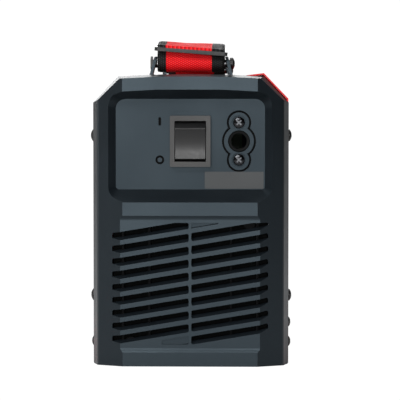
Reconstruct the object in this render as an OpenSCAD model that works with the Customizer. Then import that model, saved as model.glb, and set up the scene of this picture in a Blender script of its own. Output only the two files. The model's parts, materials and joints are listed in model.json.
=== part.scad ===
// Stick welding inverter: two moulded end panels, a bent steel cover, a base plate and a webbing strap.
// The rear panel looks along -Y, the front panel along +Y, and the feet stand on Z = 0.

/* [Body] */
// Width over the end panels
body_w = 120.4; // [100:0.1:146]
// Height of an end panel, from its lower edge to the top of its hood
body_h = 176.5; // [165:0.5:212]
// Length over both end panels
body_l = 250; // [208:1:300]
// Height of a panel's lower front edge above the floor
floor_gap = 3.2; // [2.8:0.2:5]
// Width of the slanted upper corners
corner_run = 16.7; // [12:0.1:20]
// Height of the slanted upper corners
corner_rise = 17.5; // [12:0.1:20]

/* [End panels] */
// Wall of the face, the hood and the floor of a panel
panel_wall = 3; // [2:0.5:4]
// Wall of the sides
side_wall = 2; // [1.5:0.5:3]
// Distance from the side to the edge of the flat middle facet
facet_margin = 19.6; // [17:0.1:24]
// Angle at which the side facets lean back
facet_angle = 33; // [25:1:40]
// Rounding between a side facet and the side
edge_r = 4; // [2:0.5:6]
// Depth of a panel, from its face to its rim
panel_d = 24; // [22:1:30]
// How much the top rises from the face to the rim
hood_rise = 1.9; // [1:0.1:3]
// How much each side flares out from the facets to the rim
side_flare = 3; // [1:0.2:5]
// How much the underside drops from the face to the rim
floor_flare = 2.2; // [0:0.2:2.4]
// How much a slanted corner closes in from the rim to the face
corner_taper = 3.1; // [2:0.1:5]
// Bow of the panel's top edge
top_bow = 1.2; // [0.6:0.1:2]

/* [Control pocket] */
// Distance from the side of the panel to the rim of the pocket
pocket_margin = 4.8; // [4:0.1:7]
// Distance from the top of the panel to the rim
pocket_top_gap = 9.8; // [8:0.1:12]
// Distance from the vents to the rim
pocket_vent_gap = 12.3; // [8:0.1:16]
// Depth of the pocket's floor behind the face
pocket_d = 10; // [8:0.5:11]
// How far the side walls lean in on the way to the floor
pocket_draft = 10.2; // [8:0.1:11]
// How far the upper wall leans in
pocket_draft_top = 5.5; // [3:0.1:7]
// How far the lower wall leans in
pocket_draft_low = 7.3; // [4:0.1:9]
// Corner radius of the rim
pocket_r = 8.5; // [6:0.5:10]

/* [Vents] */
// Distance from the side of the panel to the vents
vent_margin = 13.1; // [12:0.1:18]
// Lower edge of the vents above the panel's lower edge
vent_low = 13.2; // [10:0.2:18]
// Height of the vent window
vent_h = 73.5; // [60:0.5:80]
// Slats, counted along one column
slat_n = 9; // [7:1:9]
// Distance from slat to slat
slat_pitch = 7.8; // [6.5:0.1:9.4]
// Height of a slat's front face
slat_h = 2.8; // [2:0.1:3.4]
// Slope of the slats across the panel
slat_angle = 9.5; // [6:0.5:12]
// Slope of the upper side of a slat, rising inwards
louvre_angle = 29; // [20:1:32]
// Width of the upright bar in the middle
mullion_w = 1.5; // [1.2:0.1:3]
// Wall of the slatted area, which is thicker than the rest
vent_wall = 4.2; // [3:0.2:5]
// Thickness of the stiffening ribs behind the slats
rib_t = 1.1; // [0.8:0.1:2]
// Depth of the ribs behind the slats
rib_d = 3; // [2:0.5:4]

/* [Mains switch] */
// Width of the bezel
bezel_w = 24.6; // [23:0.2:30]
// Height of the bezel
bezel_h = 31; // [30:0.5:36]
// How far the bezel stands off its seat
bezel_t = 2.6; // [2:0.2:4]
// Width of the rocker's opening
rocker_open_w = 19; // [17:0.5:20]
// Height of the rocker's opening
rocker_open_h = 24.6; // [24:0.2:26]
// Travel of the rocker from OFF to ON, in degrees
rocker_travel = 22; // [16:1:24]
// Gap between the rocker and its opening
rocker_gap = 0.3; // [0.25:0.05:0.5]
// Diameter of the rocker's pivot pins
pivot_d = 3; // [2:0.2:4]

/* [Cable inlet] */
// Distance of the inlet's centre from the middle of the panel
inlet_x = 29.5; // [28:0.5:31]
// Hole in the panel for the bushing
inlet_hole_d = 13.3; // [12:0.1:14.4]
// Cable hole through the bushing
cable_hole_d = 9.4; // [8:0.1:10]
// Distance of each screw from the inlet's centre
inlet_screw_dz = 11.3; // [11:0.1:12]

/* [Strap handle] */
// Width of the webbing
web_w = 42; // [30:1:46]
// Thickness of the webbing
web_t = 1.6; // [1.2:0.1:2]
// Distance of a strap bolt from the face of its panel
strap_inset = 38; // [34:1:60]
// Height of a strap bolt above the cover
strap_rise = 8.1; // [6.6:0.1:12]
// Diameter of the sleeve that the strap runs round
sleeve_d = 7.2; // [6:0.2:10]
// Thickness of a bracket's ears
ear_t = 1.8; // [1.5:0.1:2.5]
// Sideways lean of a bracket's ears
ear_lean = 14; // [5:1:16]
// Tilt of the slider to one side
slider_tilt = 4.5; // [0:0.5:6]

/* [Cooling fan] */
// Side of the fan's square frame
fan_size = 80; // [60:1:84]
// Thickness of the fan
fan_t = 25; // [15:1:32]
// Blades of the impeller
blade_n = 7; // [5:1:9]

/* [Output sockets] */
// Bore of a socket's contact
socket_bore_d = 9.2; // [9:0.1:9.4]
// Distance of each socket from the middle
socket_x = 22; // [20:0.5:24]
// Height of the sockets above the panel's lower edge
socket_z = 28; // [28:1:32]
// Length of a socket's bore
socket_bore_l = 24; // [20:1:28]

/* [Hidden] */
$fn = 48;
sheet_t = 1;
cover_gap = 0.2;
rim_gap = 0.4;
seat_t = 1.2;
black = [0.09, 0.1, 0.11];
dark = [0.2, 0.22, 0.24];
steel = [0.62, 0.63, 0.65];
copper = [0.72, 0.42, 0.25];
brass = [0.78, 0.62, 0.3];

// Panel coordinates: x from the middle, y inwards from the face, z from the panel's lower edge.
face_y = body_l / 2;
facet_w = body_w - 2 * facet_margin;
pocket_w = body_w - 2 * pocket_margin;
vent_w = body_w - 2 * vent_margin;
vent_top = vent_low + vent_h;
pocket_low = vent_top + pocket_vent_gap;
pocket_top = body_h - pocket_top_gap;
floor_low = pocket_low + pocket_draft_low;
floor_top = pocket_top - pocket_draft_top;
control_z = (floor_low + floor_top) / 2 + 1.8;
wing_top = body_h - corner_rise;
fan_z = vent_low + vent_h / 2;
fan_face = vent_wall + rib_d + 2;
fan_pitch = fan_size * 71.5 / 80;
groove_d = 1;
boss_h = 1;
mark_depth = 0.9;

// The knob, measured from its skirt.
knob_skirt_y = pocket_d - 3.6;
knob_h = 14;

// Whole-machine heights.
cover_half = body_w / 2 - cover_gap;
base_z = floor_gap + panel_wall;
base_t = 1.2;
base_top = base_z + base_t;
cover_top = floor_gap + body_h - top_bow - 0.2;
cover_corner_z = floor_gap + wing_top - 0.4;
cover_corner_x = body_w / 2 - corner_run - 0.6;
corner_lift = 2;
board_z = base_top + 9;
board_t = 1.6;
board_top = board_z + board_t;
board_half = cover_half - sheet_t - base_t - 10.5;
board_y0 = -face_y + fan_face + fan_t + 6;
board_y1 = face_y - 45;
side_screw_zs = [39.4, wing_top - 20.3];
side_screw_depth = panel_d + 8;
strap_y = face_y - strap_inset;
strap_z = cover_top + strap_rise;
ear_half = web_w / 2 + 1.2;
pivot_depth = pocket_d - boss_h - bezel_t + 5.2;

// ---- Shared shapes ----

// The knob stands out in front, so everything moves back by half of that.
module place() {
    translate([0, -(knob_h - knob_skirt_y) / 2, 0]) children();
}

// Puts a thing given in panel coordinates on the rear of the machine.
module at_rear() {
    translate([0, -face_y, floor_gap]) children();
}

// Puts a thing given in panel coordinates on the front of the machine.
module at_front() {
    rotate([0, 0, 180]) at_rear() children();
}

// A copy on either side of the middle.
module both_sides() {
    children();
    mirror([1, 0, 0]) children();
}

// Rod along +Y.
module rod_y(d, l) {
    rotate([-90, 0, 0]) cylinder(d = d, h = l);
}

// Rod along +X, centred.
module rod_x(d, l) {
    rotate([0, 90, 0]) cylinder(d = d, h = l, center = true);
}

// Flat shape in X and Z, extruded along +Y.
module slab_y(l) {
    translate([0, l, 0]) rotate([90, 0, 0]) linear_extrude(l) children();
}

// Flat shape in Y and Z, extruded along X, centred.
module slab_x(w) {
    translate([-w / 2, 0, 0]) rotate([90, 0, 90]) linear_extrude(w) children();
}

// Rectangle with round corners.
module round_rect(w, h, r) {
    square([w - 2 * r, h], center = true);
    square([w, h - 2 * r], center = true);
    for (x = [-1, 1], y = [-1, 1]) {
        translate([x * (w / 2 - r), y * (h / 2 - r)]) circle(r);
    }
}

// Pan-head screw along -Z, its head on Z = 0, with a cross recess.
module pan_screw(d, l, head_d, head_h) {
    difference() {
        union() {
            translate([0, 0, -l]) cylinder(d = d, h = l + head_h / 2);
            intersection() {
                cylinder(d = head_d, h = head_h);
                translate([0, 0, head_h - head_d * 0.8]) sphere(head_d * 0.8);
            }
        }
        for (a = [45, 135]) {
            rotate([0, 0, a]) translate([-head_d * 0.28, -0.45, head_h * 0.4]) {
                cube([head_d * 0.56, 0.9, head_h]);
            }
        }
    }
}

// Hexagon nut on Z = 0.
module hex_nut(d, across, h) {
    difference() {
        cylinder(d = across / cos(30), h = h, $fn = 6);
        translate([0, 0, -1]) cylinder(d = d, h = h + 2);
    }
}

// ---- End panels ----

// Plan of a panel: flat middle, facets leaning back, round edges and flaring sides.
module panel_plan(inset, back) {
    half_w = body_w / 2 - side_flare - inset;
    cx = half_w - edge_r;
    cy = ((cx - facet_w / 2) * sin(facet_angle) + edge_r) / cos(facet_angle);
    tx = cx + edge_r * sin(facet_angle);
    ty = cy - edge_r * cos(facet_angle);
    back_w = half_w + side_flare * (back - cy) / (panel_d - cy);
    for (s = [-1, 1]) {
        translate([s * cx, cy]) circle(edge_r);
    }
    polygon([
        [-facet_w / 2, 0], [facet_w / 2, 0], [tx, ty], [half_w, cy], [back_w, back],
        [-back_w, back], [-half_w, cy], [-tx, ty]
    ]);
}

// Front view of a panel, with its slanted upper corners.
module panel_outline(inset, low, top) {
    r = 2.5;
    half_w = body_w / 2 - inset + 1;
    for (s = [-1, 1]) {
        translate([s * (half_w - r), low + r]) circle(r);
    }
    polygon([
        [-half_w + r, low], [half_w - r, low], [half_w, low + r], [half_w, top], [-half_w, top],
        [-half_w, low + r]
    ]);
}

// What lies under the bowed top, which rises from the face to the rim.
module under_hood(drop) {
    half = body_w * 0.6;
    steps = 16;
    function bow(x) = -top_bow * pow(x / (facet_w / 2), 2);
    translate([0, 0, body_h - hood_rise - drop]) rotate([atan(hood_rise / panel_d), 0, 0]) {
        translate([0, -60, 0]) slab_y(160) polygon(concat(
            [[half, -1.5 * body_h], [-half, -1.5 * body_h]],
            [for (i = [0:steps]) let (x = half * (2 * i / steps - 1)) [x, bow(x)]]
        ));
    }
}

// Tapered cuts along the slanted corners.
module corner_cuts(drop) {
    lean = atan2(corner_rise, corner_run);
    both_sides() {
        translate([body_w / 2, panel_d, wing_top]) rotate([0, lean, 0]) {
            rotate([atan(corner_taper / panel_d), 0, 0]) translate([-60, -60, -drop]) cube([120, 120, 60]);
        }
    }
}

// Tapered cut along the underside, which drops from the face to the rim.
module floor_cut() {
    rotate([-atan(floor_flare / panel_d), 0, 0]) translate([-body_w, -40, -40]) cube([2 * body_w, 120, 40]);
}

// The outer block of a panel.
module panel_block(inset, skin) {
    difference() {
        intersection() {
            translate([0, skin, -10]) linear_extrude(body_h + 20) panel_plan(inset, panel_d - skin);
            translate([0, -20, 0]) slab_y(panel_d + 40) panel_outline(inset, -floor_flare, body_h + 5);
            under_hood(skin);
        }
        corner_cuts(skin);
        floor_cut();
    }
}

// The hollow of a panel behind walls of a given thickness, open at the rim.
module panel_hollow(wall) {
    difference() {
        intersection() {
            translate([0, wall, panel_wall]) linear_extrude(body_h) panel_plan(side_wall, panel_d);
            under_hood(panel_wall);
        }
        corner_cuts(panel_wall);
    }
}

// Round-cornered frustum from the pocket's rim back to its floor.
module pocket_form(grow, depth) {
    low = pocket_low - grow;
    top = pocket_top + grow;
    half = pocket_w / 2 + grow;
    rim_bow = 1.5;
    lead = -2;
    hull() {
        for (s = [-1, 1]) {
            translate([s * (half - pocket_r), lead, low + pocket_r]) rod_y(2 * pocket_r, 2, $fn = 32);
            translate([s * (half - pocket_r), lead, top - rim_bow - pocket_r]) {
                rod_y(2 * pocket_r, 2, $fn = 32);
            }
            translate([s * half * 0.35, lead, top - pocket_r]) rod_y(2 * pocket_r, 2, $fn = 32);
            translate([s * (half - pocket_draft - 2), depth - 1, low + pocket_draft_low + 2]) {
                rod_y(4, 1, $fn = 32);
            }
            translate([s * (half - pocket_draft - 6), depth - 1, top - pocket_draft_top - 6]) {
                rod_y(12, 1, $fn = 32);
            }
        }
    }
}

// Shell of a panel with its pocket, before anything is cut in it.
module panel_shell() {
    difference() {
        union() {
            difference() {
                panel_block(0, 0);
                panel_hollow(panel_wall);
            }
            intersection() {
                panel_block(0.5, 0.5);
                pocket_form(panel_wall, pocket_d + panel_wall);
            }
            vent_backing();
        }
        pocket_form(0, pocket_d);
        vent_plane();
        both_sides() {
            translate([36, tie_depth, -9]) cylinder(d = 4.4, h = panel_wall + 12);
            translate([36, tie_depth, -9]) cylinder(d = 8, h = 9);
        }
    }
}

// Extra wall behind the vents.
module vent_backing() {
    rim = 2;
    difference() {
        intersection() {
            panel_block(0.5, 0.5);
            translate([-vent_w / 2 - rim, 0, vent_low - rim]) cube([vent_w + 2 * rim, 20, vent_h + 2 * rim]);
        }
        panel_hollow(vent_wall);
    }
}

// The vents lie in a plane set back from the face, which curves out to an edge above and below.
module vent_plane() {
    curve_r = 4.5;
    sweep = acos(1 - groove_d / curve_r);
    low = vent_low - 4.8;
    high = vent_top + 4.3;
    steps = 6;
    function run(k) = curve_r * (sin(sweep) - sin(sweep * (1 - k / steps)));
    function sink(k) = groove_d - curve_r * (1 - cos(sweep * (1 - k / steps)));
    slab_x(2 * body_w) {
        polygon(concat(
            [[-1, low]],
            [for (k = [0:steps]) [sink(k), low + run(k)]],
            [for (k = [steps:-1:0]) [sink(k), high - run(k)]],
            [[-1, high]]
        ));
    }
}

// Upper front edge of slat k at the middle of the panel, counted down from the top.
function slat_top(k) = vent_top - 3.5 - k * slat_pitch;

// Room above slat k: its floor climbs inwards with the louvre, and its ceiling is level.
module slot_prism(k) {
    lead = 2;
    deep = vent_wall;
    rise = tan(louvre_angle);
    top = (slat_pitch - slat_h) * cos(slat_angle);
    translate([0, 0, slat_top(k)]) rotate([0, -slat_angle, 0]) slab_x(2 * body_w) {
        polygon([
            [-lead, 0], [groove_d, 0], [deep, (deep - groove_d) * rise], [deep + 9, (deep - groove_d) * rise],
            [deep + 9, top], [-lead, top]
        ]);
    }
}

// One column of the vent window, with small round corners.
module vent_column() {
    w = vent_w / 2 - mullion_w / 2;
    translate([mullion_w / 2 + w / 2, -3, vent_low + vent_h / 2]) slab_y(24) round_rect(w, vent_h, 1.1);
}

// Front outline of the slot above slat k from x = a to x = b: a sloping band with round corners.
module slot_outline(k, a, b) {
    r = 1.4;
    t = slat_angle;
    spare = 0.15;
    low = slat_top(k) - spare + r / cos(t);
    high = slat_top(k) + slat_pitch - slat_h + spare - r / cos(t);
    x0 = a + r;
    x1 = b - r;
    z0 = x0 * tan(t);
    z1 = x1 * tan(t);
    for (c = [[x0, low + z0], [x1, low + z1], [x1, high + z1], [x0, high + z0]]) {
        translate(c) circle(r);
    }
    polygon([
        [x0 + r * sin(t), low + z0 - r * cos(t)], [x1 + r * sin(t), low + z1 - r * cos(t)],
        [b, low + z1], [b, high + z1],
        [x1 - r * sin(t), high + z1 + r * cos(t)], [x0 - r * sin(t), high + z0 + r * cos(t)],
        [a, high + z0], [a, low + z0]
    ]);
}

// The slots of the rear vents, one slat higher in the left column than in the right one.
module vent_slots() {
    intersection() {
        mirror([1, 0, 0]) vent_column();
        union() {
            for (k = [0:slat_n - 1]) slot_prism(k);
        }
        translate([0, -3, 0]) slab_y(24) {
            for (k = [0:slat_n - 1]) slot_outline(k, -vent_w / 2, -mullion_w / 2);
        }
    }
    intersection() {
        vent_column();
        union() {
            for (k = [1:slat_n]) slot_prism(k);
        }
        translate([0, -3, 0]) slab_y(24) {
            for (k = [1:slat_n]) slot_outline(k, mullion_w / 2, vent_w / 2);
        }
    }
}

// Shallow blind slots that finish the slanted pattern beside the upright bar.
module blind_slots() {
    depth = groove_d + 0.8;
    low_cut = 0.6;
    wedge_l = 17;
    intersection() {
        translate([0, -3, 0]) cube([wedge_l, 3 + depth, body_h]);
        vent_column();
        slot_prism(0);
    }
    intersection() {
        translate([-wedge_l, -3, 0]) cube([wedge_l, 3 + depth, body_h]);
        mirror([1, 0, 0]) vent_column();
        translate([0, 0, low_cut]) slot_prism(slat_n);
    }
}

// Upright ribs behind the slats.
module vent_ribs() {
    for (x = [0, facet_w * 0.304, facet_w / 2]) {
        both_sides() {
            translate([x - rib_t / 2, vent_wall - 0.5, vent_low - 1]) cube([rib_t, rib_d, vent_h + 2]);
        }
    }
}

// Posts behind the rear panel for the fan's screws.
module fan_posts() {
    for (x = [-1, 1], z = [-1, 1]) {
        translate([x * fan_pitch / 2, vent_wall - 0.5, fan_z + z * fan_pitch / 2]) {
            difference() {
                rod_y(6.5, fan_face - vent_wall + 0.5);
                translate([0, 1, 0]) rod_y(3.2, fan_face);
            }
        }
    }
}

// Raised figure round the cable inlet: a round lobe between two smaller ones.
module inlet_figure(grow) {
    circle(d = 18 + 2 * grow);
    for (s = [-1, 1]) {
        translate([0, s * inlet_screw_dz]) circle(d = 12.2 + 2 * grow);
    }
}

// ON and OFF marks beside the switch.
module switch_marks() {
    mark_x = -18.5;
    translate([mark_x, pocket_d - 1, control_z + 12]) slab_y(1 + mark_depth) round_rect(1.6, 5, 0.6);
    translate([mark_x, pocket_d - 1, control_z - 11.3]) {
        difference() {
            rod_y(5.4, 1 + mark_depth);
            translate([0, -1, 0]) rod_y(2.8, 4);
        }
    }
}

module rear_panel() {
    seat_y = pocket_d - boss_h;
    place() color(dark) at_rear() {
        difference() {
            union() {
                panel_shell();
                translate([0, seat_y, control_z]) slab_y(boss_h + 1) round_rect(22.8, 36, 3);
                translate([inlet_x, seat_y - 0.2, control_z]) slab_y(boss_h + 1) inlet_figure(0);
            }
            vent_slots();
            blind_slots();
            switch_marks();
            translate([0, seat_y - 1, control_z]) slab_y(panel_wall + 6) {
                square([bezel_w - 2.4, bezel_h - 3], center = true);
            }
            translate([inlet_x, pocket_d - 1, control_z]) slab_y(1 + mark_depth) {
                difference() {
                    inlet_figure(1.3);
                    inlet_figure(0.1);
                }
            }
            translate([inlet_x, seat_y - 1, control_z]) rod_y(inlet_hole_d, panel_wall + 6);
            for (s = [-1, 1]) {
                translate([inlet_x, seat_y - 1, control_z + s * inlet_screw_dz]) rod_y(4.3, panel_wall + 6);
                translate([inlet_x, seat_y - 1, control_z + s * inlet_screw_dz]) rod_y(8.9, 2.4);
            }
        }
        vent_ribs();
        fan_posts();
    }
}

// Front panel: the same shell, with a display, a knob, lamps, straight vents and two sockets.
window_w = 44;
window_h = 20;
window_z = floor_top - 14;
knob_z = floor_low + 15.5;
knob_x = -20;
lamp_x = 22;
lamp_dz = 9;
lamp_n = 3;
front_slot_n = 5;

module dial_ticks() {
    tick_n = 11;
    sweep = 300;
    for (i = [0:tick_n - 1]) {
        translate([knob_x, pocket_d - 1, knob_z]) rotate([0, -sweep / 2 + i * sweep / (tick_n - 1), 0]) {
            translate([-0.4, 0, 15.5]) cube([0.8, 1.4, 2.4]);
        }
    }
}

// Plus and minus marks over the sockets.
module polarity_marks() {
    mark_z = socket_z + 21;
    for (s = [-1, 1]) {
        translate([s * socket_x, groove_d - 1, mark_z]) slab_y(1.5) square([5, 1.2], center = true);
    }
    translate([socket_x, groove_d - 1, mark_z]) slab_y(1.5) square([1.2, 5], center = true);
}

module front_panel() {
    place() color(dark) at_front() {
        difference() {
            panel_shell();
            translate([0, -2, window_z]) slab_y(30) square([window_w - 3, window_h - 3], center = true);
            translate([0, pocket_d - 1, window_z]) slab_y(2.2) {
                square([window_w + 0.4, window_h + 0.4], center = true);
            }
            translate([knob_x, -2, knob_z]) rod_y(9.4, 30);
            for (i = [0:lamp_n - 1]) {
                translate([lamp_x, -2, knob_z + (i - 1) * lamp_dz]) rod_y(3.3, 30);
            }
            for (i = [0:front_slot_n - 1]) {
                translate([0, -2, vent_top - 3 - i * 6.2]) slab_y(12) round_rect(facet_w - 8, 2.8, 1.3);
            }
            for (s = [-1, 1]) {
                translate([s * socket_x, -2, socket_z]) rod_y(24.4, 12);
            }
            dial_ticks();
            polarity_marks();
        }
    }
}

// ---- Cover, base and their fasteners ----

// Line of the cover from one lower edge over the top to the other. One bend stands a little proud.
function cover_line(inset) = let (
    lean = atan2(corner_rise, corner_run),
    w = cover_half - inset,
    side_z = cover_corner_z - inset * tan(lean / 2),
    top_x = cover_corner_x - inset * tan((90 - lean) / 2),
    top_z = cover_top - inset
) [
    [w, base_z - 1.8], [w, side_z + 1.4 * corner_lift], [top_x + corner_lift, top_z + corner_lift],
    [facet_w / 2 - 12, top_z], [-top_x, top_z], [-w, side_z], [-w, base_z - 1.8]
];

// Holes for the bracket screws, drilled up from inside.
module bracket_holes(d, z, h) {
    for (y = [-strap_y, strap_y], x = [-12, 12]) {
        translate([x, y, z]) cylinder(d = d, h = h);
    }
}

module top_cover() {
    cover_l = body_l - 2 * (panel_d + rim_gap);
    place() color([0.75, 0.03, 0.04]) difference() {
        translate([0, -cover_l / 2, 0]) slab_y(cover_l) polygon(cover_line(0));
        translate([0, -body_l, 0]) slab_y(2 * body_l) polygon(concat(
            cover_line(sheet_t), [[-cover_half + sheet_t, -10], [cover_half - sheet_t, -10]]
        ));
        bracket_holes(4.3, cover_top - 5, 10);
        for (y = [-1, 1], z = side_screw_zs) {
            translate([0, y * (face_y - side_screw_depth), floor_gap + z]) rod_x(4.4, 2 * body_w);
        }
        for (y = base_screw_ys) {
            translate([0, y, base_screw_z]) rod_x(3, 2 * body_w);
        }
        translate([body_w / 2, earth_screw_y, earth_screw_z]) rod_x(3, 20);
    }
}

tie_depth = 17;
base_screw_z = floor_gap + 10.8;
base_screw_ys = [-face_y + 30, 0, face_y - 30];
earth_screw_y = -face_y + 31;
earth_screw_z = floor_gap + 22.8;
foot_x = cover_half - 22;
foot_y = face_y - 62;
tie_y = face_y - tie_depth;
standoff_x = board_half - 6;
standoff_ys = [board_y0 + 6, board_y1 - 6];

module base_plate() {
    half = cover_half - sheet_t - cover_gap;
    flange_h = 24;
    panel_room = body_w / 2 - side_flare - side_wall - 2.5;
    plate_l = body_l - 2 * (panel_wall + 9);
    flange_l = body_l - 2 * (panel_d + 1);
    place() color([0.3, 0.31, 0.32]) difference() {
        union() {
            translate([-panel_room, -plate_l / 2, base_z]) cube([2 * panel_room, plate_l, base_t]);
            translate([-half, -flange_l / 2, base_z]) cube([2 * half, flange_l, base_t]);
            for (s = [-1, 1]) {
                translate([s > 0 ? half - base_t : -half, -flange_l / 2, base_z]) {
                    cube([base_t, flange_l, flange_h]);
                }
            }
        }
        for (s = [-1, 1], y = [-1, 1]) {
            translate([s * foot_x, y * foot_y, 0]) cylinder(d = 4.4, h = 20);
            translate([s * 36, y * tie_y, 0]) cylinder(d = 4.4, h = 20);
        }
        for (s = [-1, 1], y = standoff_ys) {
            translate([s * standoff_x, y, 0]) cylinder(d = 3.4, h = 20);
        }
        for (y = base_screw_ys) {
            translate([0, y, base_screw_z]) rod_x(2.6, 2 * body_w);
        }
        translate([body_w / 2, earth_screw_y, earth_screw_z]) rod_x(2.6, 20);
    }
}

module rubber_feet() {
    place() color([0.06, 0.06, 0.06]) for (s = [-1, 1], y = [-1, 1]) {
        translate([s * foot_x, y * foot_y, 0]) difference() {
            cylinder(d1 = 14, d2 = 17, h = base_z);
            translate([0, 0, -1]) cylinder(d = 8.6, h = base_z - 0.6);
            translate([0, 0, -1]) cylinder(d = 4.4, h = base_z + 2);
        }
    }
}

module foot_screws() {
    place() color(steel) for (s = [-1, 1], y = [-1, 1]) {
        translate([s * foot_x, y * foot_y, base_z - 1.6]) rotate([180, 0, 0]) pan_screw(4, 7.6, 7.6, 2);
    }
}

module panel_screws() {
    place() color(steel) for (s = [-1, 1], y = [-1, 1]) {
        translate([s * 36, y * tie_y, floor_gap]) rotate([180, 0, 0]) pan_screw(4, 9, 7.4, 1.8);
    }
}

module base_nuts() {
    place() color(steel) for (s = [-1, 1], y = [-1, 1]) {
        translate([s * foot_x, y * foot_y, base_top]) hex_nut(4.2, 7, 3.2);
        translate([s * 36, y * tie_y, base_top]) hex_nut(4.2, 7, 3.2);
    }
}

module cover_screws() {
    place() color([0.12, 0.12, 0.13]) both_sides() {
        for (y = [-1, 1], z = side_screw_zs) {
            translate([cover_half, y * (face_y - side_screw_depth), floor_gap + z]) {
                rotate([0, 90, 0]) pan_screw(3.9, 8, 7.3, 2.4);
            }
        }
    }
}

// Joggled steel tabs, set in the side of a panel, that reach under the cover and take its side screws.
module joint_tabs() {
    tab_t = 1.2;
    tab_h = 14;
    near = 16;
    wall_x = body_w / 2 - side_flare - side_wall;
    cx = wall_x - edge_r;
    bend = ((cx - facet_w / 2) * sin(facet_angle) + edge_r) / cos(facet_angle);
    function wall_at(d) = wall_x + side_flare * (d - panel_wall - bend) / (panel_d - bend) - 0.1;
    cover_x = cover_half - sheet_t;
    place() color(steel) both_sides() {
        for (y = [-1, 1], z = side_screw_zs) {
            translate([0, 0, floor_gap + z - tab_h / 2]) difference() {
                rotate([0, 0, y < 0 ? 0 : 180]) linear_extrude(tab_h) translate([0, -face_y]) polygon([
                    [wall_at(near) - tab_t, near], [wall_at(near), near], [wall_at(panel_d), panel_d],
                    [cover_x, panel_d + 3.6], [cover_x, panel_d + 16], [cover_x - tab_t, panel_d + 16],
                    [cover_x - tab_t, panel_d + 4.4], [wall_at(panel_d) - tab_t, panel_d + 0.8]
                ]);
                translate([0, y * (face_y - side_screw_depth), tab_h / 2]) rod_x(4.1, 2 * body_w);
            }
        }
    }
}

module base_screws() {
    place() color([0.12, 0.12, 0.13]) both_sides() {
        for (y = base_screw_ys) {
            translate([cover_half, y, base_screw_z]) rotate([0, 90, 0]) pan_screw(2.5, 4, 6, 1.8);
        }
    }
    place() color([0.12, 0.12, 0.13]) translate([cover_half, earth_screw_y, earth_screw_z]) {
        rotate([0, 90, 0]) pan_screw(2.5, 4, 6, 1.8);
    }
}

// ---- Mains switch ----

module switch_housing() {
    depth = 24;
    body_back = pocket_d + depth;
    cavity_back = pivot_depth + 14;
    place() color([0.25, 0.26, 0.27]) at_rear() translate([0, 0, control_z]) difference() {
        union() {
            translate([0, pocket_d - boss_h - bezel_t, 0]) slab_y(bezel_t) round_rect(bezel_w, bezel_h, 0.8);
            translate([0, pocket_d - boss_h - 0.5, 0]) slab_y(body_back - pocket_d + boss_h + 0.5) {
                square([bezel_w - 2.8, bezel_h - 3.4], center = true);
            }
        }
        translate([0, 0, 0]) slab_y(cavity_back) {
            square([rocker_open_w, rocker_open_h], center = true);
        }
        translate([0, pivot_depth, 0]) rod_x(pivot_d + 0.1, rocker_open_w + 2.4);
        for (x = [-1, 1], z = [-1, 1]) {
            translate([x * 5, body_back - 4, z * 6.5]) slab_y(6) square([1, 6.4], center = true);
        }
    }
}

// The rocker turns on two pins. Its face is hollow, and its ends are round about the pivot.
module switch_rocker() {
    end_r = rocker_open_h / 2 - rocker_gap;
    face_r = 25;
    ridge_z = 9.3;
    ridge_out = sqrt(end_r * end_r - ridge_z * ridge_z);
    face_c = ridge_out + sqrt(face_r * face_r - ridge_z * ridge_z);
    rocker_w = rocker_open_w - 2 * rocker_gap;
    place() color(black) at_rear() translate([0, pivot_depth, control_z]) {
        rotate([rocker_travel / 2, 0, 0]) {
            difference() {
                intersection() {
                    rod_x(2 * end_r, rocker_w);
                    translate([-rocker_w, -20, -20]) cube([2 * rocker_w, 23, 40]);
                }
                translate([0, -face_c, 0]) rod_x(2 * face_r, 2 * rocker_w);
            }
            translate([-2, 2, -3]) cube([4, 6, 6]);
        }
        rod_x(pivot_d, rocker_open_w + 2);
    }
}

module switch_terminals() {
    place() color(brass) at_rear() translate([0, 0, control_z]) {
        for (x = [-1, 1], z = [-1, 1]) {
            translate([x * 5, pocket_d + 20.5, z * 6.5]) slab_y(11) square([0.8, 6.3], center = true);
        }
    }
}

// Two insulated leads from the switch down to the terminal block.
lead_d = 3;
lead_y = -face_y + pocket_d + 40;
module lead_run(points) {
    for (i = [0:len(points) - 1]) {
        translate(points[i]) sphere(d = lead_d);
    }
    for (i = [1:len(points) - 1]) {
        step = points[i] - points[i - 1];
        len_xy = norm([step[0], step[1]]);
        translate(points[i - 1]) rotate([0, atan2(len_xy, step[2]), atan2(step[1], step[0])]) {
            cylinder(d = lead_d, h = norm(step));
        }
    }
}
module switch_leads() {
    place() color([0.1, 0.25, 0.6]) for (x = [-5, 5]) {
        lead_run([
            [x, -face_y + pocket_d + 33.5, floor_gap + control_z - 6.5],
            [x, lead_y, floor_gap + control_z - 6.5],
            [x, lead_y, board_top + 13]
        ]);
    }
}

// ---- Cable inlet ----

module cable_bushing() {
    lip = pocket_d - boss_h + 1.2;
    place() color(black) at_rear() translate([inlet_x, 0, control_z]) difference() {
        union() {
            translate([0, lip, 0]) rod_y(inlet_hole_d - 0.2, pocket_d + panel_wall - lip);
            translate([0, pocket_d + panel_wall, 0]) rod_y(inlet_hole_d + 2, 4);
        }
        translate([0, lip - 1, 0]) rod_y(cable_hole_d, 20);
    }
}

module inlet_screws() {
    place() color(steel) at_rear() for (s = [-1, 1]) {
        translate([inlet_x, pocket_d - boss_h + 1.4, control_z + s * inlet_screw_dz]) {
            rotate([90, 0, 0]) pan_screw(3.9, 14, 7, 1.9);
        }
    }
}

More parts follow.
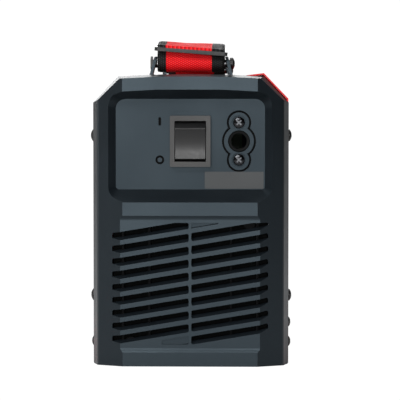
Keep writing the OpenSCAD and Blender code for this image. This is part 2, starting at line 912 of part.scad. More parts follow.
// Saddle inside the panel that grips the mains cable.
module cable_clamp() {
    back = pocket_d + panel_wall;
    place() color(black) at_rear() translate([inlet_x, 0, control_z]) difference() {
        union() {
            for (s = [-1, 1]) {
                translate([0, back, s * inlet_screw_dz]) rod_y(6.6, 11);
            }
            translate([0, back + 4.3, 0]) slab_y(6.7) round_rect(7, 2 * inlet_screw_dz, 2);
        }
        translate([0, back, 0]) rod_y(cable_hole_d + 0.4, 20);
        for (s = [-1, 1]) {
            translate([0, back - 1, s * inlet_screw_dz]) rod_y(4.1, 20);
        }
    }
}

module rating_label() {
    place() color([0.42, 0.43, 0.44]) at_rear() {
        translate([26.6, pocket_d - 0.25, floor_low + 5.6]) slab_y(0.25) round_rect(35.6, 10.3, 0.4);
    }
}

// ---- Strap handle ----

bracket_l = 16;
bolt_seat = ear_half + ear_t;

// Front view of a bracket: a thin seat under the strap and two ears that lean in.
module bracket_section() {
    ear_h = strap_rise + 4.6;
    reach = ear_t / cos(ear_lean);
    function ear_x(z) = ear_half - (z - strap_rise) * tan(ear_lean);
    translate([-ear_x(0) - 0.5, 0]) square([2 * ear_x(0) + 1, seat_t]);
    for (s = [0, 1]) {
        mirror([s, 0]) polygon([
            [ear_x(0), 0], [ear_x(0) + reach, 0], [ear_x(ear_h) + reach, ear_h], [ear_x(ear_h), ear_h]
        ]);
    }
}

module strap_bracket() {
    difference() {
        translate([0, -bracket_l / 2, cover_top]) intersection() {
            slab_y(bracket_l) bracket_section();
            slab_x(2 * body_w) {
                translate([0, -1]) square([bracket_l, seat_t + 1.6]);
                translate([bracket_l / 2, strap_rise]) circle(4.5);
                polygon([
                    [1, 0], [bracket_l - 1, 0], [bracket_l / 2 + 4.4, strap_rise + 0.6],
                    [bracket_l / 2 - 4.4, strap_rise + 0.6]
                ]);
            }
        }
        translate([0, 0, strap_z]) rod_x(5.3, 3 * body_w);
        for (x = [-12, 12]) {
            translate([x, 0, cover_top - 1]) cylinder(d = 3.8, h = 10);
        }
        for (a = [-90, 90]) {
            translate([sign(a) * bolt_seat, 0, strap_z]) rotate([0, a, 0]) cylinder(d = 9.6, h = 8);
        }
    }
}

module rear_strap_bracket() {
    place() color(dark) translate([0, -strap_y, 0]) strap_bracket();
}

module front_strap_bracket() {
    place() color(dark) translate([0, strap_y, 0]) strap_bracket();
}

// Screws from inside the cover, flush with the seats of the brackets.
module bracket_screws() {
    place() color(steel) for (y = [-strap_y, strap_y], x = [-12, 12]) {
        translate([x, y, cover_top - sheet_t]) rotate([180, 0, 0]) pan_screw(3.7, seat_t + sheet_t, 6.4, 1.8);
    }
}

module strap_bolts() {
    place() color(black) for (y = [-strap_y, strap_y]) {
        translate([bolt_seat, y, strap_z]) rotate([0, 90, 0]) {
            pan_screw(5, 2 * bolt_seat + 1.4, 7.6, 3.2);
        }
    }
}

module strap_sleeves() {
    place() color(steel) for (y = [-strap_y, strap_y]) {
        translate([0, y, strap_z]) difference() {
            rod_x(sleeve_d, 2 * ear_half - 2.2);
            rod_x(5.2, 2 * ear_half + 2);
        }
    }
}

module strap_nuts() {
    place() color(black) for (y = [-strap_y, strap_y]) {
        translate([-bolt_seat, y, strap_z]) rotate([0, -90, 0]) hex_nut(5.2, 8, 1.4);
    }
}

// The slider lies over the rear roll of webbing, tipped a little to one side.
slider_pitch = 7;
slider_z = strap_z + sleeve_d / 2 + web_t + 3.6;
slider_l = 24;
slider_t = 2.4;
slider_w = web_w + 3.4;
slot_w = web_w + 0.4;
module slider_frame() {
    translate([0, -strap_y + 4, slider_z]) rotate([slider_pitch, slider_tilt, 0]) children();
}

module strap_slider() {
    place() color(black) slider_frame() difference() {
        translate([0, 0, -slider_t / 2]) linear_extrude(slider_t) round_rect(slider_w, slider_l, 2);
        for (s = [-1, 1]) {
            translate([0, s * 5.6, -5]) linear_extrude(10) square([slot_w, 6.6], center = true);
        }
    }
}

// Middle line of the strap over its length, from the slider to the top of the front roll.
roll_r = sleeve_d / 2 + web_t;
span_y0 = -strap_y + 20;
span_z0 = slider_z + slider_t / 2 + 0.9 + 16 * sin(slider_pitch);
span_z1 = strap_z + roll_r - web_t / 2;
span_rise = 6;
function span_at(t) = [
    span_y0 + (strap_y - span_y0) * t,
    span_z0 + (span_z1 - span_z0) * (3 * t * t - 2 * t * t * t) + span_rise * pow(sin(180 * t), 2)
];
span_steps = 20;

// Webbing: a loop round each sleeve, a hemmed tail over the slider and a single layer to the front.
module carry_strap() {
    place() color([0.8, 0.03, 0.05]) difference() {
        union() {
            for (y = [-strap_y, strap_y]) {
                translate([0, y, strap_z]) rod_x(2 * roll_r, web_w);
            }
            slider_frame() {
                translate([-web_w / 2, -14, slider_t / 2 + 0.1]) cube([web_w, 32, web_t]);
                translate([-web_w / 2, -14, 0.1]) cube([web_w, 1.6, 2.4]);
                translate([0.8 - web_w / 2, -8, -8]) cube([web_w - 1.6, 2 * web_t, 10]);
            }
            slab_x(web_w) polygon(concat(
                [for (i = [0:span_steps]) span_at(i / span_steps) + [0, web_t / 2]],
                [for (i = [0:span_steps]) span_at(1 - i / span_steps) - [0, web_t / 2]]
            ));
        }
        for (y = [-strap_y, strap_y]) {
            translate([0, y, strap_z]) rod_x(sleeve_d + 0.1, 2 * web_w);
        }
    }
}

// ---- Cooling fan ----

fan_bore = fan_size - 4;
hub_d = fan_size * 0.4;
shaft_d = 3;

module at_fan() {
    at_rear() translate([0, fan_face, fan_z]) children();
}

module fan_frame() {
    stay_y = fan_t - 3;
    place() color([0.1, 0.1, 0.1]) at_fan() difference() {
        union() {
            difference() {
                slab_y(fan_t) round_rect(fan_size, fan_size, 4);
                translate([0, -1, 0]) rod_y(fan_bore, fan_t + 2);
            }
            translate([0, stay_y, 0]) rod_y(hub_d - 2, 3);
            for (a = [0, 90, 180, 270]) {
                rotate([0, a + 20, 0]) translate([-1.6, stay_y, hub_d / 2 - 3]) {
                    cube([3.2, 3, fan_bore / 2 - hub_d / 2 + 4]);
                }
            }
            translate([0, 8, 0]) rod_y(6, stay_y - 7.5);
        }
        translate([0, 7, 0]) rod_y(shaft_d + 0.1, fan_t - 8.5);
        for (x = [-1, 1], z = [-1, 1]) {
            translate([x * fan_pitch / 2, -1, z * fan_pitch / 2]) rod_y(3.6, fan_t + 2);
        }
    }
}

module fan_impeller() {
    blade_h = fan_bore / 2 - hub_d / 2 - 1;
    blade_w = 15;
    place() color([0.1, 0.1, 0.1]) at_fan() {
        difference() {
            translate([0, 3, 0]) rod_y(hub_d, fan_t - 8);
            translate([0, 5, 0]) rod_y(hub_d - 3, fan_t);
        }
        translate([0, 4, 0]) rod_y(shaft_d, fan_t - 7);
        for (i = [0:blade_n - 1]) {
            rotate([0, i * 360 / blade_n, 0]) translate([0, 3 + (fan_t - 8) / 2, hub_d / 2 - 1]) {
                rotate([0, 0, 42]) translate([-blade_w / 2, -0.7, 0]) cube([blade_w, 1.4, blade_h]);
            }
        }
    }
}

module fan_motor() {
    place() color(copper) at_fan() difference() {
        translate([0, 8.5, 0]) rod_y(hub_d - 7, fan_t - 3 - 8.5);
        translate([0, 7, 0]) rod_y(6.2, fan_t);
    }
}

module fan_screws() {
    place() color(steel) at_fan() for (x = [-1, 1], z = [-1, 1]) {
        translate([x * fan_pitch / 2, fan_t, z * fan_pitch / 2]) rotate([-90, 0, 0]) {
            pan_screw(3, fan_t + 4, 5.6, 2);
        }
    }
}

// ---- Boards and power parts ----

sink_w = 15;
sink_h = 62;
sink_y0 = board_y0 + 12;
sink_l = board_y1 - board_y0 - 24;
sink_x = board_half - sink_w - 0.5;
device_n = 4;
device_pitch = (sink_l - 30) / (device_n - 1);
device_z = board_top + 30;
function device_y(i) = sink_y0 + 15 + i * device_pitch;

module main_board() {
    place() color([0.05, 0.3, 0.12]) difference() {
        translate([-board_half, board_y0, board_z]) cube([2 * board_half, board_y1 - board_y0, board_t]);
        for (s = [-1, 1], y = standoff_ys) {
            translate([s * standoff_x, y, 0]) cylinder(d = 3.4, h = 60);
        }
    }
}

module board_standoffs() {
    place() color(brass) for (s = [-1, 1], y = standoff_ys) {
        translate([s * standoff_x, y, base_top]) difference() {
            cylinder(d = 6.4, h = board_z - base_top, $fn = 6);
            translate([0, 0, -1]) cylinder(d = 3.1, h = 20);
        }
    }
}

module board_screws() {
    place() color(steel) for (s = [-1, 1], y = standoff_ys) {
        translate([s * standoff_x, y, board_top]) pan_screw(3, 5.5, 5.4, 1.6);
        translate([s * standoff_x, y, base_z]) rotate([180, 0, 0]) pan_screw(3, 4.4, 5.4, 1.4);
    }
}

cap_d = 22;
cap_y = lead_y + 7 + cap_d / 2;
module bulk_capacitors() {
    cap_h = 42;
    place() color([0.12, 0.14, 0.35]) for (x = [-1, 1], i = [0, 1]) {
        translate([x * (cap_d / 2 + 0.5), cap_y + i * (cap_d + 1), board_top]) difference() {
            cylinder(d = cap_d, h = cap_h);
            translate([0, 0, 3.5]) rotate_extrude() translate([cap_d / 2 + 0.4, 0]) circle(1);
            for (a = [0, 90]) {
                rotate([0, 0, a]) translate([-7, -0.4, cap_h - 0.6]) cube([14, 0.8, 2]);
            }
        }
    }
}

// Aluminium extrusion: an upright back with fins that point at the cover.
module heatsink_bar(y0, l, w, h) {
    back_t = 4;
    fin_n = floor(h / 6);
    translate([0, y0, 0]) slab_y(l) {
        square([back_t, h]);
        for (i = [0:fin_n - 1]) {
            translate([back_t - 0.5, i * (h - 1.4) / (fin_n - 1)]) square([w - back_t, 1.4]);
        }
    }
}

module diode_heatsink() {
    place() color([0.7, 0.71, 0.73]) difference() {
        translate([sink_x, 0, board_top]) heatsink_bar(sink_y0, sink_l, sink_w, sink_h);
        for (i = [0:device_n - 1]) {
            translate([sink_x, device_y(i), device_z]) rod_x(2.7, 7);
        }
    }
}

module transistor_heatsink() {
    mirror([1, 0, 0]) diode_heatsink();
}

// Moulded power devices with three legs, flat against the heatsink.
module device_row() {
    for (i = [0:device_n - 1]) {
        translate([sink_x, device_y(i), device_z]) difference() {
            union() {
                translate([-5, -8, -13]) cube([5, 16, 20]);
                for (d = [-5.4, 0, 5.4]) {
                    translate([-2.8, d - 0.6, board_top - device_z]) {
                        cube([0.6, 1.2, device_z - board_top - 12]);
                    }
                }
            }
            rod_x(3.6, 20);
        }
    }
}

module output_diodes() {
    place() color(black) device_row();
}

module power_transistors() {
    place() color(black) mirror([1, 0, 0]) device_row();
}

module device_screws() {
    place() color(steel) both_sides() {
        for (i = [0:device_n - 1]) {
            translate([sink_x - 5, device_y(i), device_z]) rotate([0, -90, 0]) pan_screw(2.6, 8, 5.4, 1.8);
        }
    }
}

// Ferrite transformer: two yokes, two outer legs and a middle leg inside the winding.
trafo_y = cap_y + 1.5 * cap_d + 2 + 18;
trafo_w = 44;
trafo_h = 42;
trafo_t = 18;
leg_w = 13;
module transformer_core() {
    place() color([0.18, 0.18, 0.19]) translate([0, trafo_y, board_top + 3]) {
        difference() {
            translate([-trafo_w / 2, -trafo_t / 2, 0]) cube([trafo_w, trafo_t, trafo_h]);
            for (s = [-1, 1]) {
                translate([s * (trafo_w / 4 - 0.5), 0, trafo_h / 2]) {
                    cube([trafo_w / 2 - leg_w, 60, trafo_h - 14], center = true);
                }
            }
        }
    }
}

module transformer_windings() {
    win_h = trafo_h - 15;
    place() color(copper) translate([0, trafo_y, board_top + 3 + trafo_h / 2]) {
        difference() {
            translate([0, 0, -win_h / 2]) linear_extrude(win_h) {
                round_rect(trafo_w - leg_w - 4, trafo_t + 18, 5);
            }
            cube([leg_w + 2.4, trafo_t + 1, 60], center = true);
        }
        for (s = [-1, 1]) {
            translate([-6, s * (trafo_t / 2 + 4) - 2, -trafo_h / 2 - 3]) cube([12, 4, 12]);
        }
    }
}

choke_r = 11.5;
choke_wire_r = 6.5;
choke_y = trafo_y + 19 + choke_r + choke_wire_r;
module output_choke() {
    place() color(copper) translate([0, choke_y, board_top + choke_wire_r]) {
        rotate_extrude() translate([choke_r, 0]) circle(choke_wire_r);
    }
}

module aux_transformer() {
    place() color([0.85, 0.75, 0.2]) translate([-11, board_y1 - 12, board_top]) {
        linear_extrude(5) round_rect(18, 18, 1);
        translate([0, 0, 5]) linear_extrude(14) round_rect(16, 14, 3);
    }
}

module softstart_relay() {
    place() color([0.1, 0.2, 0.5]) translate([11, board_y1 - 12, board_top]) {
        linear_extrude(16) round_rect(15, 19, 1);
    }
}

module input_rectifier() {
    place() color(black) translate([0, board_y0 + 1.5, board_top]) difference() {
        translate([-11, -1, 0]) cube([22, 3, 15]);
        translate([0, -10, 10]) rod_y(3.4, 30);
    }
}

module terminal_block() {
    place() color([0.1, 0.35, 0.2]) translate([0, lead_y, board_top]) difference() {
        translate([-10, -4.5, 0]) cube([20, 9, 12]);
        for (x = [-5, 5]) {
            translate([x, 0, 2]) cylinder(d = lead_d + 0.2, h = 20);
        }
    }
}

module control_board() {
    place() color([0.05, 0.3, 0.12]) {
        translate([-24, choke_y + choke_r + choke_wire_r + 1, board_top]) cube([48, 1.6, 46]);
    }
}

// Copper bars from the power parts to the rear studs of the sockets.
bar_t = 2;
stud_y = face_y - 34;
module output_busbars() {
    bar_z = floor_gap + socket_z;
    bar_y0 = sink_y0 + sink_l;
    place() color(copper) {
        for (s = [-1, 1]) {
            difference() {
                translate([s * socket_x - 7, stud_y - bar_t, bar_z - 7]) cube([14, bar_t, 14]);
                translate([s * socket_x, stud_y - 10, bar_z]) rod_y(8.2, 20);
            }
            translate([s * socket_x - 1, bar_y0, bar_z + 5]) cube([bar_t, stud_y - bar_y0, 10]);
            translate([s > 0 ? socket_x - 1 : -sink_x - 4, bar_y0, bar_z + 5]) {
                cube([sink_x + 4 - socket_x + 1, bar_t, 10]);
            }
        }
    }
}

// ---- Front controls and sockets ----

module socket_flanges() {
    place() color(black) at_front() for (s = [-1, 1]) {
        translate([s * socket_x, groove_d, socket_z]) difference() {
            union() {
                translate([0, -7, 0]) rod_y(31, 7);
                rod_y(24, 10);
            }
            translate([0, -8, 0]) rod_y(18.4, 30);
            translate([0, -8, 0]) rod_y(24, 3.5);
        }
    }
}

module socket_contacts() {
    contact_back = 27;
    place() color(brass) at_front() for (s = [-1, 1]) {
        translate([s * socket_x, 0, socket_z]) difference() {
            union() {
                translate([0, -3, 0]) rod_y(18, contact_back + 3);
                translate([0, contact_back - 1, 0]) rod_y(8, 14);
            }
            translate([0, -4, 0]) rod_y(socket_bore_d, socket_bore_l + 1);
        }
    }
}

module socket_nuts() {
    place() color(steel) at_front() for (s = [-1, 1]) {
        translate([s * socket_x, 11.5, socket_z]) rotate([-90, 0, 0]) hex_nut(18.3, 25, 5);
        translate([s * socket_x, face_y - stud_y - 5.2, socket_z]) rotate([-90, 0, 0]) hex_nut(8.2, 13, 5);
    }
}

display_y = pocket_d + panel_wall + 9;
module display_board() {
    low = knob_z - 13;
    top = window_z + window_h / 2 + 4;
    place() color([0.05, 0.3, 0.12]) at_front() difference() {
        translate([-34, display_y, low]) cube([68, 1.6, top - low]);
        for (s = [-1, 1], z = [low + 4, top - 4]) {
            translate([s * 30, display_y - 1, z]) rod_y(3.4, 5);
        }
    }
}

module display_standoffs() {
    low = knob_z - 13;
    top = window_z + window_h / 2 + 4;
    back = pocket_d + panel_wall;
    place() color(black) at_front() for (s = [-1, 1], z = [low + 4, top - 4]) {
        translate([s * 30, back, z]) rod_y(6, display_y - back);
        translate([s * 30, display_y - 1, z]) rod_y(3.2, 3.6);
    }
}

module display_module() {
    place() color([0.1, 0.1, 0.1]) at_front() {
        translate([0, display_y - 8.4, window_z]) slab_y(8.4) square([38, 16], center = true);
    }
}

module display_window() {
    place() color([0.2, 0.02, 0.02, 0.6]) at_front() {
        translate([0, pocket_d - 0.6, window_z]) slab_y(1.8) round_rect(window_w, window_h, 0.8);
    }
}

module indicator_leds() {
    place() color([0.8, 0.2, 0.1]) at_front() for (i = [0:lamp_n - 1]) {
        translate([lamp_x, pocket_d - 0.6, knob_z + (i - 1) * lamp_dz]) {
            rod_y(3, display_y - pocket_d + 0.6);
            sphere(d = 3);
        }
    }
}

module potentiometer() {
    back = pocket_d + panel_wall;
    place() color(steel) at_front() translate([knob_x, 0, knob_z]) difference() {
        union() {
            translate([0, back + 1, 0]) rod_y(16, display_y - back - 1);
            translate([0, pocket_d - 3, 0]) rod_y(9, panel_wall + 5);
            translate([0, pocket_d, 0]) rotate([90, 0, 0]) cylinder(d = 13, h = 2, $fn = 6);
            translate([0, back, 0]) rod_y(12, 2);
        }
        translate([0, pocket_d - 10, 0]) rod_y(6.1, 16);
    }
}

module pot_shaft() {
    place() color(steel) at_front() translate([knob_x, pocket_d - 14.5, knob_z]) rod_y(6, 19.5);
}

module current_knob() {
    grip_n = 12;
    place() color(black) at_front() translate([knob_x, 0, knob_z]) difference() {
        union() {
            translate([0, knob_skirt_y - 2, 0]) rod_y(27, 2);
            translate([0, knob_skirt_y - knob_h, 0]) rod_y(22, 13);
        }
        translate([0, pocket_d - 14.5, 0]) rod_y(6.04, 20);
        for (i = [0:grip_n - 1]) {
            rotate([0, (i + 0.5) * 360 / grip_n, 0]) {
                translate([0, knob_skirt_y - knob_h - 1, 11.6]) rod_y(2.4, 12.6);
            }
        }
        translate([-0.6, knob_skirt_y - knob_h - 1, 4]) cube([1.2, 1.6, 8]);
    }
}

rear_panel();
front_panel();
top_cover();
base_plate();
rubber_feet();
foot_screws();
panel_screws();
base_nuts();
cover_screws();
joint_tabs();
base_screws();
switch_housing();
switch_rocker();
switch_terminals();
switch_leads();
cable_bushing();
inlet_screws();
cable_clamp();
rating_label();
rear_strap_bracket();
front_strap_bracket();
bracket_screws();
strap_bolts();
strap_sleeves();
strap_nuts();
carry_strap();
strap_slider();
fan_frame();
fan_impeller();
fan_motor();
fan_screws();
main_board();
board_standoffs();
board_screws();
bulk_capacitors();
input_rectifier();
transistor_heatsink();
power_transistors();
diode_heatsink();
output_diodes();
device_screws();
transformer_core();
transformer_windings();
output_choke();
aux_transformer();
softstart_relay();
terminal_block();
control_board();
output_busbars();
socket_flanges();
socket_contacts();
socket_nuts();
display_board();
display_standoffs();
display_module();
display_window();
indicator_leds();
potentiometer();
pot_shaft();
current_knob();
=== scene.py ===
# %% [markdown]
# # A stick welding inverter
# The machine is a tall narrow box: two moulded ABS end panels, a bent sheet-steel cover in red enamel
# between them, and a webbing strap on top. The solid parts arrive from CAD at their true size. What is
# left to Blender is what the eye judges: soft edges, woven webbing, and finishes with the right grain.

# %% Load the frame
import bpy
import bmesh
import json
import math

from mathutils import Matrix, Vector


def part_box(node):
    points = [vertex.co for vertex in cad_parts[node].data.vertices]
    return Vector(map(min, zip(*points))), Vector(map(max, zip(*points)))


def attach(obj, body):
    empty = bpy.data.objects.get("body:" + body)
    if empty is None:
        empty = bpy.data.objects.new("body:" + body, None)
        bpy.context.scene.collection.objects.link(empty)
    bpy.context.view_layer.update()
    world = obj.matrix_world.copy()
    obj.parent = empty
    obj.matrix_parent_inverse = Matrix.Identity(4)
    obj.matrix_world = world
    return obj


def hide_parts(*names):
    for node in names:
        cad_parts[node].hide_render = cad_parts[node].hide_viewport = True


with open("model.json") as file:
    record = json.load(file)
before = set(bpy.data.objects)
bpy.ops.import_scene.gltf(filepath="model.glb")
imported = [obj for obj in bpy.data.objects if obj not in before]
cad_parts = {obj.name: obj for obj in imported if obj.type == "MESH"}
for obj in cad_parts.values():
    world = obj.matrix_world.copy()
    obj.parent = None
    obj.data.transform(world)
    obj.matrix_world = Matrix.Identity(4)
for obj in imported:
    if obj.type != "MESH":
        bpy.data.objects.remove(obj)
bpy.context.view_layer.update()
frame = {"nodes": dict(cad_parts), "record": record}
nodes = frame["nodes"]
MM = 0.001

# %% [markdown]
# ## Colours and nodes
# A colour is written as an sRGB hex value, the way a paint chart gives it, and turned to linear light once.
# One small function adds a shader node with its settings and its links, so a material reads as a recipe.

# %% Helpers for colours and shader nodes
def linear(hex_value, alpha=1.0):
    parts = [int(hex_value[i:i + 2], 16) / 255 for i in (1, 3, 5)]
    flat = [c / 12.92 if c <= 0.04045 else ((c + 0.055) / 1.055) ** 2.4 for c in parts]
    return (*flat, alpha)


def feed(tree, node, sockets):
    """Each socket, by its name or number, gets a plain value or a link from another node's output."""
    for name, value in sockets.items():
        if isinstance(value, bpy.types.NodeSocket):
            tree.links.new(value, node.inputs[name])
        else:
            node.inputs[name].default_value = value
    return node


def add(tree, kind, sockets=None, **settings):
    node = tree.nodes.new(kind)
    for name, value in settings.items():
        setattr(node, name, value)
    return feed(tree, node, sockets or {})


def new_material(name, base, rough, metallic=0.0, **values):
    """A material with one Principled shader. Returns it with its tree and its shader."""
    material = bpy.data.materials.new(name)
    material.use_nodes = True
    tree = material.node_tree
    shader = tree.nodes["Principled BSDF"]
    feed(tree, shader, {"Base Color": linear(base), "Roughness": rough, "Metallic": metallic})
    feed(tree, shader, {socket.replace("_", " "): value for socket, value in values.items()})
    material.diffuse_color = linear(base)
    return material, tree, shader


# The Mix node has a socket of each kind for its factor and its two sides. These are the colour ones.
MIX_FACTOR, MIX_A, MIX_B, MIX_OUT = 0, 6, 7, 2
print("black ABS in linear light:", [round(c, 4) for c in linear("#090C0F")])

# %% [markdown]
# ## Moulded ABS
# The end panels are black ABS from a spark-eroded mould. ABS has an IOR near 1.54. The eroded steel leaves
# a fine matt grain that breaks up highlights, and the true grain of about 0.1 mm is drawn at 0.45 mm so it
# shows. Carbon black leaves almost no diffuse colour, so what the eye sees is a soft cool sheen, strong on
# faces that look at the light and nearly nothing on those that turn away.

# %% Housing plastic
ABS_IOR = 1.54
COOL_SHEEN = linear("#BBD2E0")


def moulded_abs(name, base, second, rough, grain_mm=0.45, depth_mm=0.010, sheen=None):
    material, tree, shader = new_material(name, base, rough, IOR=ABS_IOR)
    if sheen:
        feed(tree, shader, {"Specular Tint": sheen})
    place = add(tree, "ShaderNodeTexCoord")
    fine = add(tree, "ShaderNodeTexNoise",
               {"Vector": place.outputs["Object"], "Scale": 1 / (grain_mm * MM), "Detail": 2.0})
    broad = add(tree, "ShaderNodeTexNoise",
                {"Vector": place.outputs["Object"], "Scale": 1 / (38 * MM), "Detail": 3.0})
    relief = add(tree, "ShaderNodeBump",
                 {"Height": fine.outputs["Fac"], "Strength": 0.5, "Distance": depth_mm * MM})
    worn = add(tree, "ShaderNodeMapRange", {"Value": broad.outputs["Fac"], "From Min": 0.3, "From Max": 0.7,
                                            "To Min": rough - 0.03, "To Max": rough + 0.04}, clamp=True)
    shade = add(tree, "ShaderNodeMix", {MIX_FACTOR: broad.outputs["Fac"], MIX_A: linear(base),
                                        MIX_B: linear(second)}, data_type="RGBA")
    feed(tree, shader, {"Normal": relief.outputs["Normal"], "Roughness": worn.outputs["Result"],
                        "Base Color": shade.outputs[MIX_OUT]})
    return material


housing_abs = moulded_abs("housing_abs", "#090C0F", "#0D1115", 0.41, sheen=COOL_SHEEN)
recess_abs = moulded_abs("recess_abs", "#0A0D10", "#101519", 0.5, grain_mm=0.6, sheen=COOL_SHEEN)
# Painted shade: near-black matt plastic on the mark floors and the rib faces behind the slats.
painted_shade_abs = moulded_abs("painted_shade_abs", "#040506", "#060708", 0.8)
feed(painted_shade_abs.node_tree, painted_shade_abs.node_tree.nodes["Principled BSDF"], {"Specular IOR Level": 0.1})
switch_abs = moulded_abs("switch_abs", "#121212", "#171717", 0.52, grain_mm=0.35, depth_mm=0.006)
fan_pbt = moulded_abs("fan_pbt", "#101010", "#141414", 0.5)
knob_abs = moulded_abs("knob_abs", "#141516", "#18191A", 0.45)
device_epoxy = moulded_abs("device_epoxy", "#141414", "#1C1C1C", 0.55, grain_mm=0.3)
terminal_nylon = moulded_abs("terminal_nylon", "#1F6B3A", "#247442", 0.45)
relay_plastic = moulded_abs("relay_plastic", "#1D3F73", "#21457B", 0.4)
print("moulded plastics: 9")

# %% [markdown]
# ## Polished plastic
# The rocker, the slider and the lamps come from polished moulds. They reflect sharply, and only a faint
# waviness and a few handling marks keep the reflection from looking like glass.

# %% Polished plastic
def polished_plastic(name, base, rough=0.18, wave_mm=9, wave_depth=0.012):
    material, tree, shader = new_material(name, base, rough, IOR=1.5)
    place = add(tree, "ShaderNodeTexCoord")
    wave = add(tree, "ShaderNodeTexNoise",
               {"Vector": place.outputs["Object"], "Scale": 1 / (wave_mm * MM), "Detail": 0.0})
    rub = add(tree, "ShaderNodeTexNoise",
              {"Vector": place.outputs["Object"], "Scale": 1 / (2.2 * MM), "Detail": 4.0})
    relief = add(tree, "ShaderNodeBump",
                 {"Height": wave.outputs["Fac"], "Strength": 0.3, "Distance": wave_depth * MM})
    worn = add(tree, "ShaderNodeMapRange", {"Value": rub.outputs["Fac"], "From Min": 0.3, "From Max": 0.7,
                                            "To Min": rough, "To Max": rough + 0.1}, clamp=True)
    feed(tree, shader, {"Normal": relief.outputs["Normal"], "Roughness": worn.outputs["Result"]})
    return material


rocker_plastic = polished_plastic("rocker_plastic", "#0B0B0C", 0.36, wave_mm=20)
slider_plastic = polished_plastic("slider_plastic", "#0C0D0E", 0.16)
lamp_plastic = polished_plastic("lamp_plastic", "#B5241A", 0.15)
wire_plastic = polished_plastic("wire_plastic", "#1B3C78", 0.35)
board_mask = polished_plastic("board_mask", "#0F4A26", 0.3)
capacitor_sleeve = polished_plastic("capacitor_sleeve", "#1A2350", 0.3)
polyester_tape = polished_plastic("polyester_tape", "#C79A1E", 0.3)
window_acrylic, _, _ = new_material("window_acrylic", "#3A0507", 0.06, IOR=1.49, Transmission_Weight=0.55)
print("polished plastics: 8")

# %% [markdown]
# ## Enamel on sheet steel
# The cover is bent from 1 mm steel and coated in red enamel. Enamel is a coloured layer under its own gloss,
# so the shader gets a coat. Sprayed enamel has a gentle orange peel about 2 mm across. The same recipe, less
# glossy, makes the painted base and the black oxide on the screws.

# %% Red enamel, painted base and black screws
def enamel(name, base, second, rough, coat, peel_mm=2.0, gloss=0.5):
    material, tree, shader = new_material(name, base, rough, Specular_IOR_Level=gloss, Coat_Weight=coat,
                                          Coat_Roughness=0.12)
    place = add(tree, "ShaderNodeTexCoord")
    peel = add(tree, "ShaderNodeTexNoise",
               {"Vector": place.outputs["Object"], "Scale": 1 / (peel_mm * MM), "Detail": 1.0})
    broad = add(tree, "ShaderNodeTexNoise",
                {"Vector": place.outputs["Object"], "Scale": 1 / (45 * MM), "Detail": 2.0})
    relief = add(tree, "ShaderNodeBump",
                 {"Height": peel.outputs["Fac"], "Strength": 0.25, "Distance": 0.03 * MM})
    shade = add(tree, "ShaderNodeMix", {MIX_FACTOR: broad.outputs["Fac"], MIX_A: linear(base),
                                        MIX_B: linear(second)}, data_type="RGBA")
    feed(tree, shader, {"Normal": relief.outputs["Normal"], "Base Color": shade.outputs[MIX_OUT]})
    return material


red_enamel = enamel("red_enamel", "#C80A12", "#BE0810", 0.46, 0.05, gloss=0.2)
base_paint = enamel("base_paint", "#2A2B2C", "#303132", 0.5, 0.1)
black_oxide = enamel("black_oxide", "#040405", "#070708", 0.34, 0.1, peel_mm=0.6, gloss=0.2)
print("painted finishes: 3")

# %% [markdown]
# ## Metals
# Screws are zinc-plated steel, the contacts are turned brass, the heatsinks are extruded aluminium and the
# windings are enamelled copper. A metal takes its colour from its base colour, and fine scratches in the
# roughness tell that it was drawn, turned or plated. The two screws beside the cable are dark nickel, which
# is almost black but still flashes white where its cross recess catches the light.

# %% Metals
def plain_metal(name, base, second, rough, scratch_mm=0.6):
    material, tree, shader = new_material(name, base, rough, metallic=1.0)
    place = add(tree, "ShaderNodeTexCoord")
    scratch = add(tree, "ShaderNodeTexNoise",
                  {"Vector": place.outputs["Object"], "Scale": 1 / (scratch_mm * MM), "Detail": 5.0})
    broad = add(tree, "ShaderNodeTexNoise",
                {"Vector": place.outputs["Object"], "Scale": 1 / (12 * MM), "Detail": 2.0})
    relief = add(tree, "ShaderNodeBump",
                 {"Height": scratch.outputs["Fac"], "Strength": 0.2, "Distance": 0.01 * MM})
    worn = add(tree, "ShaderNodeMapRange",
               {"Value": scratch.outputs["Fac"], "From Min": 0.3, "From Max": 0.7,
                "To Min": rough - 0.06, "To Max": rough + 0.12}, clamp=True)
    shade = add(tree, "ShaderNodeMix", {MIX_FACTOR: broad.outputs["Fac"], MIX_A: linear(base),
                                        MIX_B: linear(second)}, data_type="RGBA")
    feed(tree, shader, {"Normal": relief.outputs["Normal"], "Roughness": worn.outputs["Result"],
                        "Base Color": shade.outputs[MIX_OUT]})
    return material


zinc_plate = plain_metal("zinc_plate", "#C9CBCE", "#B9BBBF", 0.28)
dark_nickel = plain_metal("dark_nickel", "#3A3B3D", "#2B2C2E", 0.2, scratch_mm=0.9)
turned_brass = plain_metal("turned_brass", "#D9B56A", "#C9A355", 0.25)
copper_wire = plain_metal("copper_wire", "#B8683A", "#A65A30", 0.3)
extruded_aluminium = plain_metal("extruded_aluminium", "#D2D4D6", "#C2C4C6", 0.38)
ferrite, _, _ = new_material("ferrite", "#2B2B2C", 0.6)
print("metals: 5")

# %% [markdown]
# ## Rubber, foam and the label
# Feet and the cable bushing are black rubber: matt, with a low even sheen. The sheet behind the vents is
# black
# foam that swallows nearly all light: painted shade for the inside of the box. The rating plate is a grey
# polyester film, left bare here. It is smoother than the plastic round it, so it catches a flatter light.

# %% Rubber, foam and label film
foot_rubber = moulded_abs("foot_rubber", "#141414", "#181818", 0.7, grain_mm=0.6)
bush_rubber = moulded_abs("bush_rubber", "#060707", "#090A0A", 0.6, grain_mm=0.5)
# Painted shade: near-black foam for the sheet that stands in for the shade inside the vents.
shade_foam = moulded_abs("shade_foam", "#040505", "#070808", 0.95, grain_mm=0.8, depth_mm=0.3)
label_film = moulded_abs("label_film", "#191D1F", "#222628", 0.54, grain_mm=0.8, depth_mm=0.004)
for soaked in (bush_rubber, shade_foam):
    feed(soaked.node_tree, soaked.node_tree.nodes["Principled BSDF"], {"Specular IOR Level": 0.08})
print("rubber, foam and film: 4")

